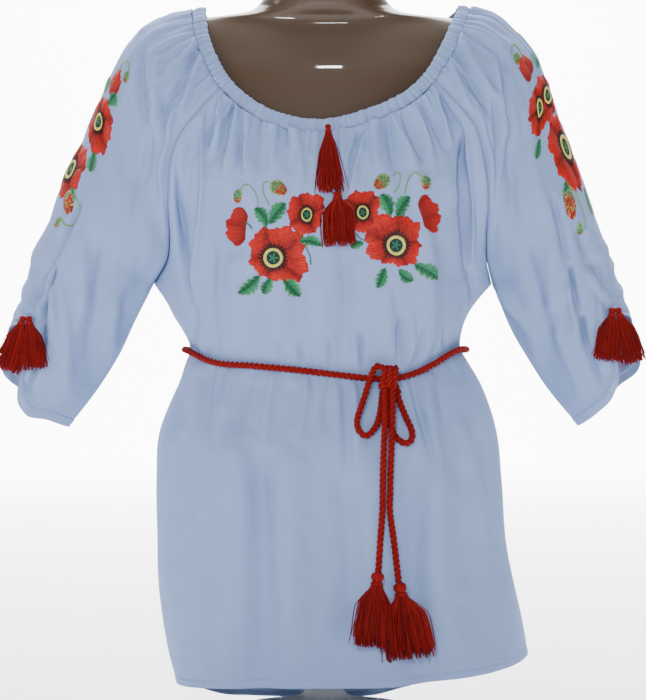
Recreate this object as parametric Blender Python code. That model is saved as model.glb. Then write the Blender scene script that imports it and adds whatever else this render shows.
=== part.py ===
"""Embroidered peasant blouse with a cord belt on a limbless dress form.

Lengths in the tables are millimetres and are scaled to metres when a mesh is made.
+Z is up, the front faces -Y, the base of the form's foot is z = 0.
The blouse is cut in four panels (front, back, two raglan sleeves) that meet at seams
and hang from a gathered neck casing; every panel is a thin wall of cloth.
"""
import math

import bmesh
import bpy
import numpy as np

MM = 0.001
CLOTH = 1.6            # wall of the gathered crepe
SEAM_INSET = 0.3       # each panel stops this far short of its seam line
UNDERARM_INSET = 0.5   # and a little more where four panels fold into the underarm
BAND_THICK = 4.6       # gathered casing over its elastic
CORD_D = 7.2           # twisted belt cord
TIE_D = 4.0            # thinner cord of neck and cuff ties
REST_GAP = 0.5         # free space between cloth and what lies on it
RAGLAN_ROWS = 8
WAIST_ROW = 1.17       # the belt lies on this row of the body panels
SKIRT_STATIONS = (1.05, 1.10, 1.14, 1.17, 1.20, 1.25, 1.32, 1.42, 1.55, 1.70, 1.85, 2.0)
SLEEVE_ROWS = 8
FRONT_COLS = 28
BACK_COLS = 22
SLEEVE_COLS = 24
FORM_X = 4.0           # middle of the dress form

# Neck casing, round the body from the left front raglan seam over the front.
# columns: upper edge x, y, z, lower edge x, y, z
BAND = [
    (-93.5, -76.0, 666.0, -104.0, -79.0, 658.0),    # left front raglan seam
    (-50.0, -96.0, 633.0, -55.0, -100.0, 620.0),
    (-2.0, -101.5, 623.0, -2.0, -105.5, 610.0),     # centre front
    (48.0, -98.0, 634.0, 52.0, -102.0, 621.0),
    (94.0, -84.0, 658.0, 103.0, -87.0, 648.0),
    (109.0, -74.0, 674.0, 119.0, -77.0, 666.0),     # right front raglan seam
    (121.0, -61.0, 694.0, 133.5, -63.0, 688.0),
    (136.5, -34.0, 727.0, 149.0, -36.0, 724.0),
    (146.0, 2.0, 749.0, 158.0, 2.0, 746.0),         # right shoulder crest
    (140.0, 36.0, 744.0, 150.0, 40.0, 737.0),
    (106.0, 62.0, 725.0, 112.0, 68.0, 712.0),       # right back raglan seam
    (60.0, 78.0, 712.0, 62.0, 83.0, 699.0),
    (4.0, 83.0, 706.0, 4.0, 88.0, 693.0),           # centre back
    (-52.0, 78.0, 710.0, -54.0, 83.0, 697.0),
    (-92.0, 61.0, 721.0, -98.0, 67.0, 708.0),       # left back raglan seam
    (-120.0, 34.0, 739.0, -130.0, 38.0, 732.0),
    (-122.0, 0.0, 747.0, -135.0, 0.0, 744.0),       # left shoulder crest
    (-114.0, -53.0, 705.0, -127.0, -56.0, 701.0),
]
SEAM_LF, SEAM_RF, CREST_R, SEAM_RB, SEAM_LB, CREST_L = 0, 5, 8, 10, 14, 16

# Raglan seams from the neck casing to the underarm, equal rows.  columns: x, y, z
RAGLAN_LEFT_FRONT = [
    (-104, -79, 658), (-124, -80, 636), (-143, -79, 613), (-154, -75, 588), (-158, -69, 560),
    (-159, -59, 532), (-158, -47, 506), (-161, -29, 480), (-176.5, 0, 455),
]
RAGLAN_RIGHT_FRONT = [
    (119, -77, 666), (140, -80, 643), (160, -79, 618), (168, -75, 592), (174, -68, 561),
    (175, -58, 533), (173.5, -44, 506), (175, -24, 479), (181.5, 0, 455),
]
RAGLAN_LEFT_BACK = [
    (-98, 67, 708), (-118, 74, 678), (-134, 78, 648), (-146, 78, 616), (-153, 74, 584),
    (-157, 66, 552), (-160, 52, 520), (-165, 31, 488), (-176.5, 0, 455),
]
RAGLAN_RIGHT_BACK = [
    (112, 68, 712), (132, 75, 683), (149, 79, 652), (161, 78, 619), (168, 74, 586),
    (172, 66, 553), (174, 52, 520), (176, 31, 487), (181.5, 0, 455),
]
# Side seams of the body from underarm to hem.  columns: z, left x, right x
SIDES = [
    (455, -176.5, 181.5), (433, -162, 163), (420, -155.5, 155), (405, -146, 150),
    (386, -138.5, 149), (372, -143.5, 157), (352, -150, 169), (332, -159, 177.5),
    (302, -170.5, 186.5), (248, -174.5, 192.5), (188, -173.5, 197), (142, -172.5, 206),
    (107, -168.5, 213.5), (67, -161.5, 219.5), (35, -152.5, 222),
]
HEM_CORNERS = (35.0, 67.0)     # left and right side seam ends
# Where the middle of each panel takes its width from.  columns: z, left x, right x
CORE = [
    (712, -112, 124), (660, -128, 142), (613, -144, 158), (560, -152, 168), (500, -153, 167),
    (455, -150, 162), (420, -144, 156), (386, -138.5, 149), (372, -143.5, 157), (352, -150, 169),
    (332, -159, 177.5), (302, -170.5, 186.5), (248, -174.5, 192.5), (188, -173.5, 197),
    (142, -172.5, 206), (107, -168.5, 213.5), (67, -161.5, 219.5), (3, -152.5, 222),
]
# Half depth of the body.  columns: z, front, back
DEPTHS = [
    (706, 70, 86), (680, 84, 94), (650, 95, 100), (610, 105.5, 104), (570, 121, 104),
    (530, 128, 102), (490, 128, 99), (455, 124, 97), (420, 114, 92), (386, 102, 89),
    (372, 105, 92), (350, 113, 98), (332, 119, 104), (302, 128, 114), (248, 137, 126),
    (188, 143, 136), (107, 148, 145), (41, 150, 149), (3, 150, 150),
]
# Hem lines.  columns: x, z
FRONT_HEM = [
    (-152.5, 35), (-140, 35), (-125, 36), (-104, 38), (-50, 40.5), (0, 41), (50, 41.5),
    (82, 43), (110, 47), (134, 49), (158, 51), (182, 54), (208, 60), (222, 67),
]
BACK_HEM = [
    (-152.5, 35), (-140, 26), (-106, 9.5), (-75, 6), (-43, 4), (0, 3), (32, 2.6), (48, 3.4),
    (63, 5.5), (80, 10), (120, 22), (170, 43), (205, 58), (222, 67),
]
# Waist line lifts and dips under the belt.  columns: x, rise above z = 386
WAIST_RISE = [(-140, -2), (-115, -12), (-66, -17), (-16, -22), (24, -27), (54, -30), (81, -29),
              (104, -21), (131, -6), (150, 5)]

# Largest folds of the body.
# columns: s at the top, s at the foot, first v, last v, width in s, height
FRONT_FOLDS = [
    (-0.84, -0.86, 0.00, 0.30, 0.060, 4.0), (-0.66, -0.70, 0.00, 0.22, 0.050, 3.6),
    (-0.48, -0.54, 0.00, 0.20, 0.055, 3.4), (-0.27, -0.30, 0.00, 0.16, 0.050, 3.0),
    (-0.08, -0.10, 0.00, 0.14, 0.045, 2.6), (0.15, 0.12, 0.00, 0.15, 0.045, 3.0),
    (0.36, 0.40, 0.00, 0.20, 0.055, 3.6), (0.58, 0.62, 0.00, 0.22, 0.050, 3.4),
    (0.78, 0.82, 0.00, 0.30, 0.060, 4.2),
    (-0.93, -0.93, 0.06, 0.40, 0.035, -4.0), (0.91, 0.91, 0.06, 0.40, 0.035, -4.0),
    (-0.55, -0.66, 0.50, 1.00, 0.110, 5.0), (-0.18, -0.24, 0.52, 0.98, 0.100, 4.0),
    (0.16, 0.20, 0.50, 0.96, 0.090, 4.5), (0.62, 0.66, 0.50, 1.00, 0.110, 5.0),
    (-0.38, -0.45, 0.55, 1.00, 0.070, -3.5), (0.40, 0.46, 0.55, 1.00, 0.080, -4.0),
    (-0.84, -0.80, 0.55, 0.95, 0.060, -4.0), (0.84, 0.80, 0.55, 0.95, 0.060, -4.0),
]
BACK_FOLDS = [
    (-0.74, -0.80, 0.00, 0.28, 0.060, 3.8), (-0.44, -0.50, 0.00, 0.22, 0.060, 3.4),
    (-0.14, -0.16, 0.00, 0.18, 0.055, 3.0), (0.18, 0.22, 0.00, 0.20, 0.060, 3.2),
    (0.50, 0.54, 0.00, 0.24, 0.060, 3.6), (0.78, 0.82, 0.00, 0.28, 0.060, 3.8),
    (-0.60, -0.66, 0.54, 1.00, 0.120, 4.5), (-0.10, -0.14, 0.54, 0.98, 0.110, 4.0),
    (0.34, 0.40, 0.54, 1.00, 0.120, 4.5), (0.74, 0.80, 0.56, 1.00, 0.090, 4.0),
    (-0.34, -0.38, 0.56, 1.00, 0.090, -3.5), (0.12, 0.14, 0.56, 1.00, 0.090, -3.0),
]

# Outer line of each sleeve above the underarm, equal rows.  columns: x, y, z
OUTER_LEFT = [
    (-135, 0, 744), (-163, 0, 738), (-186.5, 0, 726), (-206, 0, 705), (-222, 0, 676),
    (-236, 0, 645), (-252, 0, 608), (-271, 0, 568), (-286.5, 0, 523),
]
OUTER_RIGHT = [
    (158, 2, 746), (181, 2, 740), (202, 1, 724), (219, 0, 706), (233, 0, 684),
    (243, 0, 655), (254, 0, 622), (272, 0, 579), (291.5, 0, 523),
]
# Sleeve below the underarm.
# columns: h along the sleeve, inner x, inner z, outer x, outer z, half depth
TUBE_LEFT = [
    (0.00, -176.5, 455, -286.5, 523, 58), (0.25, -197, 414, -305, 487, 55),
    (0.50, -213, 380, -313, 451, 52), (0.75, -237, 342, -330, 412, 50),
    (1.00, -266.5, 304, -344, 378, 47),
]
TUBE_RIGHT = [
    (0.00, 181.5, 455, 291.5, 523, 58), (0.25, 200, 410, 306, 487, 55),
    (0.50, 217.5, 379, 315, 456, 52), (0.75, 241, 343, 330, 420, 50),
    (1.00, 272.5, 305, 343, 388, 47),
]
# How far the cuff hangs below (+) or is drawn up above (-) its line.  columns: w, drop
CUFF_LEFT = [
    (0.00, 0), (0.11, 9), (0.20, 20), (0.26, 8), (0.33, -60), (0.40, -46), (0.50, -28),
    (0.60, 6), (0.75, 10), (1.00, 0),
]
CUFF_RIGHT = [
    (0.00, 0), (0.11, 5), (0.20, 5), (0.26, -8), (0.33, -62), (0.40, -48), (0.50, -26),
    (0.60, 10), (0.75, 10), (1.00, 0),
]
SLEEVE_AXIS_Z = -0.90      # direction of the cuff's drop
SLEEVE_AXIS_X = 0.44
# Soft folds of the sleeves.  columns: w at the top, w at the cuff, first v, last v, width, height
SLEEVE_FOLDS = [
    (0.10, 0.14, 0.00, 0.30, 0.035, 4.0), (0.24, 0.22, 0.00, 0.34, 0.040, 4.0),
    (0.38, 0.34, 0.00, 0.30, 0.035, 3.5), (0.64, 0.66, 0.00, 0.30, 0.040, 4.0),
    (0.80, 0.78, 0.00, 0.32, 0.040, 4.0), (0.16, 0.18, 0.55, 1.00, 0.050, -4.0),
    (0.30, 0.34, 0.62, 1.00, 0.040, 4.5), (0.52, 0.48, 0.70, 1.00, 0.040, -4.0),
    (0.72, 0.70, 0.55, 1.00, 0.060, 4.0),
]

# Dress form rings.  columns: z, half width, front depth, back depth
FORM = [
    (79, 52, 40, 40), (80.5, 70, 54, 53), (85, 88, 68, 66), (98, 103, 80, 79), (130, 118, 90, 93),
    (190, 129, 98, 106), (250, 134, 100, 108), (300, 131, 95, 99), (350, 124, 87, 86),
    (386, 120, 84, 80), (420, 123, 90, 82), (460, 132, 103, 86), (500, 142, 114, 89),
    (535, 149, 116, 91), (570, 152, 110, 92), (610, 156, 97, 92), (650, 166, 84, 88),
    (680, 177, 71, 80), (700, 182, 58, 71), (715, 180, 48, 61), (725, 171, 41, 53),
    (732, 155, 37, 48), (737, 128, 38, 46), (739.5, 104, 40, 47.5), (742, 88, 42, 49.5),
    (746, 76, 44, 51), (753, 68, 45.5, 52), (765, 63, 46, 52), (790, 60, 46, 51.5),
    (797, 57, 44, 49), (800, 50, 38, 43),
]
FORM_POWER = 2.25
# Foot of the form.  columns: z, half width, half depth
FOOT = [(0, 80, 62), (9, 80, 62), (13, 76, 58), (17, 40, 34), (26, 19, 19), (60, 18, 18),
        (70, 24, 24), (78.6, 34, 34)]

# Belt bow, measured outwards from the skirt.  columns: x, z, distance of the cord's middle
LOOP_LEFT = [(58.0, 369, 13), (53.0, 361.5, 13), (47.5, 345, 11), (43, 331, 7), (37.5, 314, 4.5),
             (39.5, 303, 4.5), (47.5, 298, 4.5), (56.5, 307, 4.8), (61.5, 322, 5.2), (63.7, 340, 6.0)]
LOOP_RIGHT = [(79.4, 343, 6.2), (80.5, 335, 5.6), (86.5, 319, 5.0), (93.5, 303, 4.5), (93, 293.5, 4.5),
              (87, 290, 4.5), (78, 295.5, 4.6), (72, 307, 4.8), (71.3, 322, 5.2), (71.4, 340, 6.2)]
END_LEFT = [(66.4, 345, 17), (66.2, 325, 15.5), (65.5, 305, 14), (64.5, 286, 12.6), (63.6, 262, 7),
            (63.2, 240, 4.6), (62.8, 221, 4.4), (60.5, 190, 4.4), (58.8, 164, 4.4)]
END_RIGHT = [(74.0, 345, 17), (73.8, 325, 15.5), (73.2, 305, 14), (72.3, 286, 12.6), (71.3, 262, 7),
             (70.9, 240, 4.6), (70.6, 221, 4.4), (75, 188, 4.4), (79, 153, 4.8)]
KNOT = (70.4, 357.5, 19.0, 9.0, 11.0, 7.6)     # x, z, distance, half width, half height, half depth
# Tassels: a small head over a flaring skirt of threads.
# columns: top x, top z, foot x, foot z, head half width, foot half width, half depth
BELT_TASSELS = {
    "belt_tassel_left": (58.3, 160.5, 50.5, 87, 7.5, 16.5, 8),
    "belt_tassel_right": (80.0, 149.5, 90.5, 74, 7.5, 22, 8),
}
NECK_TASSELS = {
    "neck_tassel_upper": (7.5, 617, 11, 549, 5.0, 12.5, 5),
    "neck_tassel_lower": (17, 547.5, 20, 493, 5.5, 15, 5.5),
}
# Cuff tassels hang from the drawn-up point of the cuff.
# columns: shift of the top in x and y, shift of the foot in x and y, length, foot half width
CUFF_TASSELS = [(-5, -3, -6, -9, 52, 8.5), (6, -3, 16, -8, 54, 9.5)]
CUFF_TIE_W = 0.33
CUFF_TIE_ROW = 1.93


def smooth(table, at, closed=False):
    """Values of a table at the keys `at`, on a smooth curve through its rows (key first)."""
    rows = np.array(sorted(table), dtype=float)
    key = rows[:, 0]
    val = rows[:, 1:]
    at = np.clip(np.asarray(at, dtype=float), key[0], key[-1])
    step = np.diff(key)[:, None]
    slope = np.diff(val, axis=0) / step
    if closed:
        mid = (slope * np.roll(step, 1, 0) + np.roll(slope, 1, 0) * step) / (step + np.roll(step, 1, 0))
        tangent = np.vstack([mid, mid[:1]])
    else:
        mid = (slope[1:] * step[:-1] + slope[:-1] * step[1:]) / (step[1:] + step[:-1])
        tangent = np.vstack([slope[:1], mid, slope[-1:]])
    i = np.clip(np.searchsorted(key, at, side="right") - 1, 0, len(key) - 2)
    h = (key[i + 1] - key[i])[..., None]
    t = (at - key[i])[..., None] / h
    out = (val[i] * (2 * t**3 - 3 * t**2 + 1) + tangent[i] * h * (t**3 - 2 * t**2 + t)
           + val[i + 1] * (3 * t**2 - 2 * t**3) + tangent[i + 1] * h * (t**3 - t**2))
    return out[..., 0] if out.shape[-1] == 1 else out


def curve(points, at):
    """Smooth curve through equally keyed points, `at` running from 0 to 1."""
    n = len(points) - 1
    return smooth([(i,) + tuple(p) for i, p in enumerate(points)], np.asarray(at) * n)


def unit(v):
    return v / np.maximum(np.linalg.norm(v, axis=-1, keepdims=True), 1e-12)


def ease(x):
    x = np.clip(x, 0.0, 1.0)
    return x * x * (3 - 2 * x)


def band_keys():
    rows = np.array(BAND)
    mid = (rows[:, :3] + rows[:, 3:]) / 2
    step = np.linalg.norm(np.roll(mid, -1, 0) - mid, axis=1)
    return np.concatenate([[0], np.cumsum(step)])


BAND_KEY = band_keys()


def band_edges(at):
    """Upper and lower edge of the casing at lengths `at` along it."""
    table = [(BAND_KEY[i],) + tuple(BAND[i % len(BAND)]) for i in range(len(BAND) + 1)]
    both = smooth(table, np.mod(at, BAND_KEY[-1]), closed=True)
    return both[..., :3], both[..., 3:]


def under_band(first, last, frac):
    """Line just below the casing between two of its rows, with the gap of a seam."""
    upper, lower = band_edges(BAND_KEY[first] + (BAND_KEY[last] - BAND_KEY[first]) * frac)
    return lower + unit(lower - upper) * 2 * SEAM_INSET


def start_at_band():
    """Begin each raglan seam on the line just below the casing."""
    for table, row in ((RAGLAN_LEFT_FRONT, SEAM_LF), (RAGLAN_RIGHT_FRONT, SEAM_RF),
                       (RAGLAN_RIGHT_BACK, SEAM_RB), (RAGLAN_LEFT_BACK, SEAM_LB)):
        table[0] = tuple(under_band(row, row, 0.0))


start_at_band()


def fold_height(folds, across, down):
    """Sum of soft ridges and troughs that run down a panel and fade at both ends."""
    total = np.zeros(np.broadcast(across, down).shape)
    for top, foot, start, stop, width, height in folds:
        along = (down - start) / (stop - start)
        middle = top + (foot - top) * along
        open_start = 1.0 if start == 0.0 else ease(along * 4)
        open_stop = 1.0 if stop == 1.0 else ease((1 - along) * 2.5)
        inside = (along >= 0) & (along <= 1)
        total += height * inside * open_start * open_stop * np.exp(-((across - middle) / width) ** 2)
    return total


def side_edge(raglan, right, row):
    """Edge of a body panel at `row`: 0 to 1 down the raglan seam, 1 to 2 down the side seam."""
    upper = curve(raglan, np.clip(row, 0, 1))
    z = np.interp(row, (1.0, WAIST_ROW, 2.0), (455.0, 386.0, HEM_CORNERS[right]))
    x = smooth(SIDES, z)[..., right]
    lower = np.stack([x, np.zeros_like(z), z], -1)
    return np.where((row <= 1)[..., None], upper, lower)


def body_row(front, s, row):
    """Point of a body panel before its top edge is brought to the casing."""
    left = side_edge(RAGLAN_LEFT_FRONT if front else RAGLAN_LEFT_BACK, 0, row)
    right = side_edge(RAGLAN_RIGHT_FRONT if front else RAGLAN_RIGHT_BACK, 1, row)
    frac = (s + 1) / 2
    seam_z = left[..., 2] + (right[..., 2] - left[..., 2]) * frac
    core = smooth(CORE, seam_z)
    near = np.abs(s) ** 12
    x_left = core[..., 0] + (left[..., 0] - core[..., 0]) * near
    x_right = core[..., 1] + (right[..., 0] - core[..., 1]) * near
    x = x_left + (x_right - x_left) * frac
    top = under_band(SEAM_LF, SEAM_RF, frac) if front else under_band(SEAM_RB, SEAM_LB, 1 - frac)
    ends = (RAGLAN_LEFT_FRONT, RAGLAN_RIGHT_FRONT) if front else (RAGLAN_LEFT_BACK, RAGLAN_RIGHT_BACK)
    top_seam = ends[0][0][2] + (ends[1][0][2] - ends[0][0][2]) * frac
    hem_seam = HEM_CORNERS[0] + (HEM_CORNERS[1] - HEM_CORNERS[0]) * frac
    hem_z = smooth(FRONT_HEM if front else BACK_HEM, x)
    level = (seam_z + (top[..., 2] - top_seam) * (1 - np.clip(row, 0, 1)) ** 1.5
             + (hem_z - hem_seam) * ease((row - 1.3) / 0.7))
    down = (top[..., 2] - level) / (top[..., 2] - hem_z)
    rise = (smooth(WAIST_RISE, x) if front else np.full(x.shape, -2.0)) * (1 - near)
    z = level + rise * ease(1 - np.abs(level - 386) / 120)
    depth = smooth(DEPTHS, level)[..., 0 if front else 1]
    edge_y = np.abs(left[..., 1]) + (np.abs(right[..., 1]) - np.abs(left[..., 1])) * frac
    power = 0.5 + 0.12 * ease((row - 0.45) / 0.2) * (1 - ease((row - 0.95) / 0.15))
    y = depth * np.clip(1 - np.abs(s) ** 2.4, 0, 1) ** power + edge_y * near
    return x, y, z, down, level, top


def body_panel(front, s, row):
    """Point of the front or back panel.

    s runs -1 to 1 from left seam to right, row 0 to 2 from casing over underarm to hem.
    A row's depth is a superellipse between the seams, and its last part turns to them.
    """
    x, y, z, down, level, top = body_row(front, s, row)
    x_top, y_top, *_ = body_row(front, s, np.zeros_like(row))
    fade = (1 - np.clip(down, 0, 1)) ** 8
    x = x + (top[..., 0] - x_top) * fade
    y = y + (np.abs(top[..., 1]) - y_top) * fade
    gather = 1 - np.exp(-((level - 386) / 16) ** 2)
    edge = ease((1 - np.abs(s)) * 12)
    y = y + fold_height(FRONT_FOLDS if front else BACK_FOLDS, s, down) * edge * gather
    return np.stack([x, -y if front else y, z], -1)


def sleeve_panel(right, w, row):
    """Point of a sleeve.

    w runs 0 to 1 from the front seam over the outer line to the back seam, row 0 to 1 down
    the raglan and 1 to 2 down the tube.  Each section is two cubic arcs that meet on the
    outer line, where they run straight back.
    """
    tube = smooth(TUBE_RIGHT if right else TUBE_LEFT, np.clip(row - 1, 0, 1))
    above = (row <= 1)[..., None]
    zero = np.zeros_like(row)
    inner = np.stack([tube[..., 0], zero, tube[..., 1]], -1)
    upper = np.clip(row, 0, 1)
    front = np.where(above, curve(RAGLAN_RIGHT_FRONT if right else RAGLAN_LEFT_FRONT, upper), inner)
    back = np.where(above, curve(RAGLAN_RIGHT_BACK if right else RAGLAN_LEFT_BACK, upper), inner)
    outer_tube = np.stack([tube[..., 2], zero, tube[..., 3]], -1)
    outer = np.where(above, curve(OUTER_RIGHT if right else OUTER_LEFT, upper), outer_tube)
    half = tube[..., 4]
    shut = ease((row - 0.5) / 0.5)
    t = np.where(w <= 0.5, w * 2, 2 - w * 2)[..., None]
    start = np.where((w <= 0.5)[..., None], front, back)
    way = np.where(w <= 0.5, -1.0, 1.0)
    lean = (outer - start) * np.array([0.4, 0.0, 0.4])
    lean[..., 1] += way * 8
    bow = np.stack([zero, way * half * 4 / 3, zero], -1) + unit(outer - start) * (half * 0.55)[..., None]
    c1 = start + lean * (1 - shut)[..., None] + bow * shut[..., None]
    back_off = np.stack([zero, start[..., 1] * 0.6 * (1 - shut) + way * half * 4 / 3 * shut, zero], -1)
    c2 = outer + back_off
    point = start * (1 - t)**3 + 3 * c1 * t * (1 - t)**2 + 3 * c2 * t**2 * (1 - t) + outer * t**3
    # meet the casing exactly at the top
    if right:
        first = np.where((w <= 0.5)[..., None], under_band(SEAM_RF, CREST_R, np.clip(w * 2, 0, 1)),
                         under_band(CREST_R, SEAM_RB, np.clip(w * 2 - 1, 0, 1)))
    else:
        first = np.where((w <= 0.5)[..., None],
                         under_band(len(BAND), CREST_L, np.clip(w * 2, 0, 1)),
                         under_band(CREST_L, SEAM_LB, np.clip(w * 2 - 1, 0, 1)))
    return point, first


def sleeve_surface(right, w, row):
    point, first = sleeve_panel(right, w, row)
    base, _ = sleeve_panel(right, w, np.zeros_like(row))
    edge = ((w > 1e-9) & (w < 1 - 1e-9))[..., None]
    point = point + (first - base) * ((1 - np.clip(row, 0, 1)) ** 2)[..., None] * edge
    drop = smooth(CUFF_RIGHT if right else CUFF_LEFT, w) * np.clip(row - 1, 0, 1) ** 2.5
    way = 1.0 if right else -1.0
    point = point + drop[..., None] * np.array([way * SLEEVE_AXIS_X, 0, SLEEVE_AXIS_Z])
    return point


def grid_normals(grid):
    """Unit normal at each grid point from its neighbours (rows first, then columns)."""
    along = np.gradient(grid, axis=0)
    across = np.gradient(grid, axis=1)
    return unit(np.cross(across, along))


def add_mesh(name, verts, faces, mat):
    mesh = bpy.data.meshes.new(name)
    mesh.from_pydata((np.asarray(verts) * MM).tolist(), [], faces)
    shell = bmesh.new()
    shell.from_mesh(mesh)
    bmesh.ops.recalc_face_normals(shell, faces=shell.faces)
    shell.to_mesh(mesh)
    shell.free()
    obj = bpy.data.objects.new(name, mesh)
    bpy.context.scene.collection.objects.link(obj)
    obj.data.materials.append(mat)
    return obj


def wall(name, mid, normal, thick, mat):
    """Closed thin wall about a grid of points."""
    rows, cols = mid.shape[:2]
    outer = (mid + normal * thick / 2).reshape(-1, 3)
    inner = (mid - normal * thick / 2).reshape(-1, 3)
    n = rows * cols
    index = np.arange(n).reshape(rows, cols)
    a, b, c, d = index[:-1, :-1], index[:-1, 1:], index[1:, 1:], index[1:, :-1]
    quads = np.stack([a, b, c, d], -1).reshape(-1, 4)
    faces = quads.tolist() + (quads[:, ::-1] + n).tolist()
    rim = np.concatenate([index[0, :], index[1:, -1], index[-1, -2::-1], index[-2:0:-1, 0]])
    nxt = np.roll(rim, -1)
    faces += np.stack([rim, rim + n, nxt + n, nxt], -1).tolist()
    return add_mesh(name, np.vstack([outer, inner]), faces, mat)


def ring_solid(name, rings, mat):
    """Closed solid through stacked rings of points, capped flat."""
    rings = np.asarray(rings)
    count, sides = rings.shape[:2]
    index = np.arange(count * sides).reshape(count, sides)
    a, b = index[:-1], np.roll(index[:-1], -1, 1)
    c, d = np.roll(index[1:], -1, 1), index[1:]
    faces = np.stack([a, b, c, d], -1).reshape(-1, 4).tolist()
    faces.append(index[0, ::-1].tolist())
    faces.append(index[-1].tolist())
    return add_mesh(name, rings.reshape(-1, 3), faces, mat)


def frames(path, closed):
    """Two unit directions square to a path, turned as little as possible along it."""
    path = np.asarray(path)
    if closed:
        tangent = unit(np.roll(path, -1, 0) - np.roll(path, 1, 0))
    else:
        tangent = unit(np.gradient(path, axis=0))
    side = np.zeros_like(path)
    start = np.cross(tangent[0], (0.0, 1.0, 0.0))
    if np.linalg.norm(start) < 0.2:
        start = np.cross(tangent[0], (0.0, 0.0, 1.0))
    side[0] = unit(start)
    for i in range(1, len(path)):
        side[i] = unit(side[i - 1] - tangent[i] * np.dot(side[i - 1], tangent[i]))
    return side, np.cross(tangent, side)


def tube(name, path, diameter, mat, sides=8, closed=False):
    """Round cord along a path; `diameter` is one number or one for each point."""
    side, other = frames(path, closed)
    angle = np.arange(sides) * 2 * math.pi / sides
    radius = np.broadcast_to(np.asarray(diameter, dtype=float) / 2, (len(path),))
    ring = (side[:, None] * np.cos(angle)[None, :, None] + other[:, None] * np.sin(angle)[None, :, None])
    rings = np.asarray(path)[:, None] + ring * radius[:, None, None]
    if not closed:
        return ring_solid(name, rings, mat)
    index = np.arange(len(path) * sides).reshape(len(path), sides)
    nxt = np.roll(index, -1, 0)
    quads = np.stack([index, np.roll(index, -1, 1), np.roll(nxt, -1, 1), nxt], -1)
    return add_mesh(name, rings.reshape(-1, 3), quads.reshape(-1, 4).tolist(), mat)


def material(name, colour, rough):
    mat = bpy.data.materials.new(name)
    mat.use_nodes = True
    shader = mat.node_tree.nodes["Principled BSDF"]
    shader.inputs["Base Color"].default_value = (*colour, 1.0)
    shader.inputs["Roughness"].default_value = rough
    return mat


def panel_columns(count):
    """Positions -1 to 1, closer together towards the seams where the cloth turns."""
    even = np.linspace(-1, 1, count + 1)
    return 0.45 * even + 0.55 * np.sin(even * math.pi / 2)


def cloth_grids():
    rows_body = np.concatenate([np.linspace(0, 1, RAGLAN_ROWS + 1), SKIRT_STATIONS])
    rows_sleeve = np.concatenate([np.linspace(0, 1, RAGLAN_ROWS + 1),
                                  1 + np.linspace(0, 1, SLEEVE_ROWS + 1)[1:]])
    grids = {}
    for name, front, cols in (("front_panel", True, FRONT_COLS), ("back_panel", False, BACK_COLS)):
        row, s = np.meshgrid(rows_body, panel_columns(cols), indexing="ij")
        grids[name] = body_panel(front, s, row)
    for name, right in (("sleeve_left", 0), ("sleeve_right", 1)):
        row, w = np.meshgrid(rows_sleeve, np.linspace(0, 1, SLEEVE_COLS + 1), indexing="ij")
        grids[name] = sleeve_surface(right, w, row)
    return grids


def outward(name, grid, normal):
    """Turn normals away from the middle of the body or of the sleeve's tube."""
    rows, cols = grid.shape[:2]
    if name == "front_panel":
        sign = -np.sign(normal[rows // 2, cols // 2, 1])
    elif name == "back_panel":
        sign = np.sign(normal[rows // 2, cols // 2, 1])
    else:
        way = -1 if name == "sleeve_left" else 1
        sign = way * np.sign(normal[RAGLAN_ROWS, cols // 2, 0])
    return normal * sign


def build_cloth(mat):
    grids = cloth_grids()
    normals = {k: outward(k, g, grid_normals(g)) for k, g in grids.items()}
    r = RAGLAN_ROWS
    shared = []
    for sleeve, col in (("sleeve_left", 0), ("sleeve_right", -1)):
        shared.append([("front_panel", slice(0, r), col), (sleeve, slice(0, r), 0)])
        shared.append([("back_panel", slice(0, r), col), (sleeve, slice(0, r), -1)])
        shared.append([("front_panel", slice(r + 1, None), col), ("back_panel", slice(r + 1, None), col)])
        shared.append([(sleeve, slice(r + 1, None), 0), (sleeve, slice(r + 1, None), -1)])
    for group in shared:
        mean = unit(sum(normals[n][rows, col] for n, rows, col in group))
        for n, rows, col in group:
            normals[n][rows, col] = mean
    for name in grids:
        for col in (0, -1):
            normals[name][r, col] = (0.0, 0.0, -1.0)
    for name, grid in grids.items():
        moved = grid.copy()
        inset = np.full((len(grid), 1), SEAM_INSET)
        inset[r - 2:r + 2] += UNDERARM_INSET
        moved[:, 0] += unit(grid[:, 1] - grid[:, 0]) * inset
        moved[:, -1] += unit(grid[:, -2] - grid[:, -1]) * inset
        wall(name, moved, normals[name], CLOTH, mat)
    return grids


def build_band(mat):
    count = 60
    at = np.arange(count) * BAND_KEY[-1] / count
    upper, lower = band_edges(at)
    tangent = unit(np.roll(upper + lower, -1, 0) - np.roll(upper + lower, 1, 0))
    normal = unit(np.cross(lower - upper, tangent))
    middle = (upper + lower) / 2
    normal = normal * np.sign(np.sum(normal * (middle - np.array([FORM_X, 0, 640])), 1))[:, None]
    # blunt oval section: upper edge, two outer points, lower edge, two inner points
    half = BAND_THICK / 2
    section = [upper - normal * half * 0.5, upper + normal * half * 0.5,
               upper * 0.75 + lower * 0.25 + normal * half, upper * 0.25 + lower * 0.75 + normal * half,
               lower + normal * half * 0.5, lower - normal * half * 0.5,
               upper * 0.25 + lower * 0.75 - normal * half, upper * 0.75 + lower * 0.25 - normal * half]
    rings = np.stack(section, 1)
    sides = rings.shape[1]
    index = np.arange(count * sides).reshape(count, sides)
    nxt = np.roll(index, -1, 0)
    quads = np.stack([index, np.roll(index, -1, 1), np.roll(nxt, -1, 1), nxt], -1)
    return add_mesh("neck_band", rings.reshape(-1, 3), quads.reshape(-1, 4).tolist(), mat)


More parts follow.
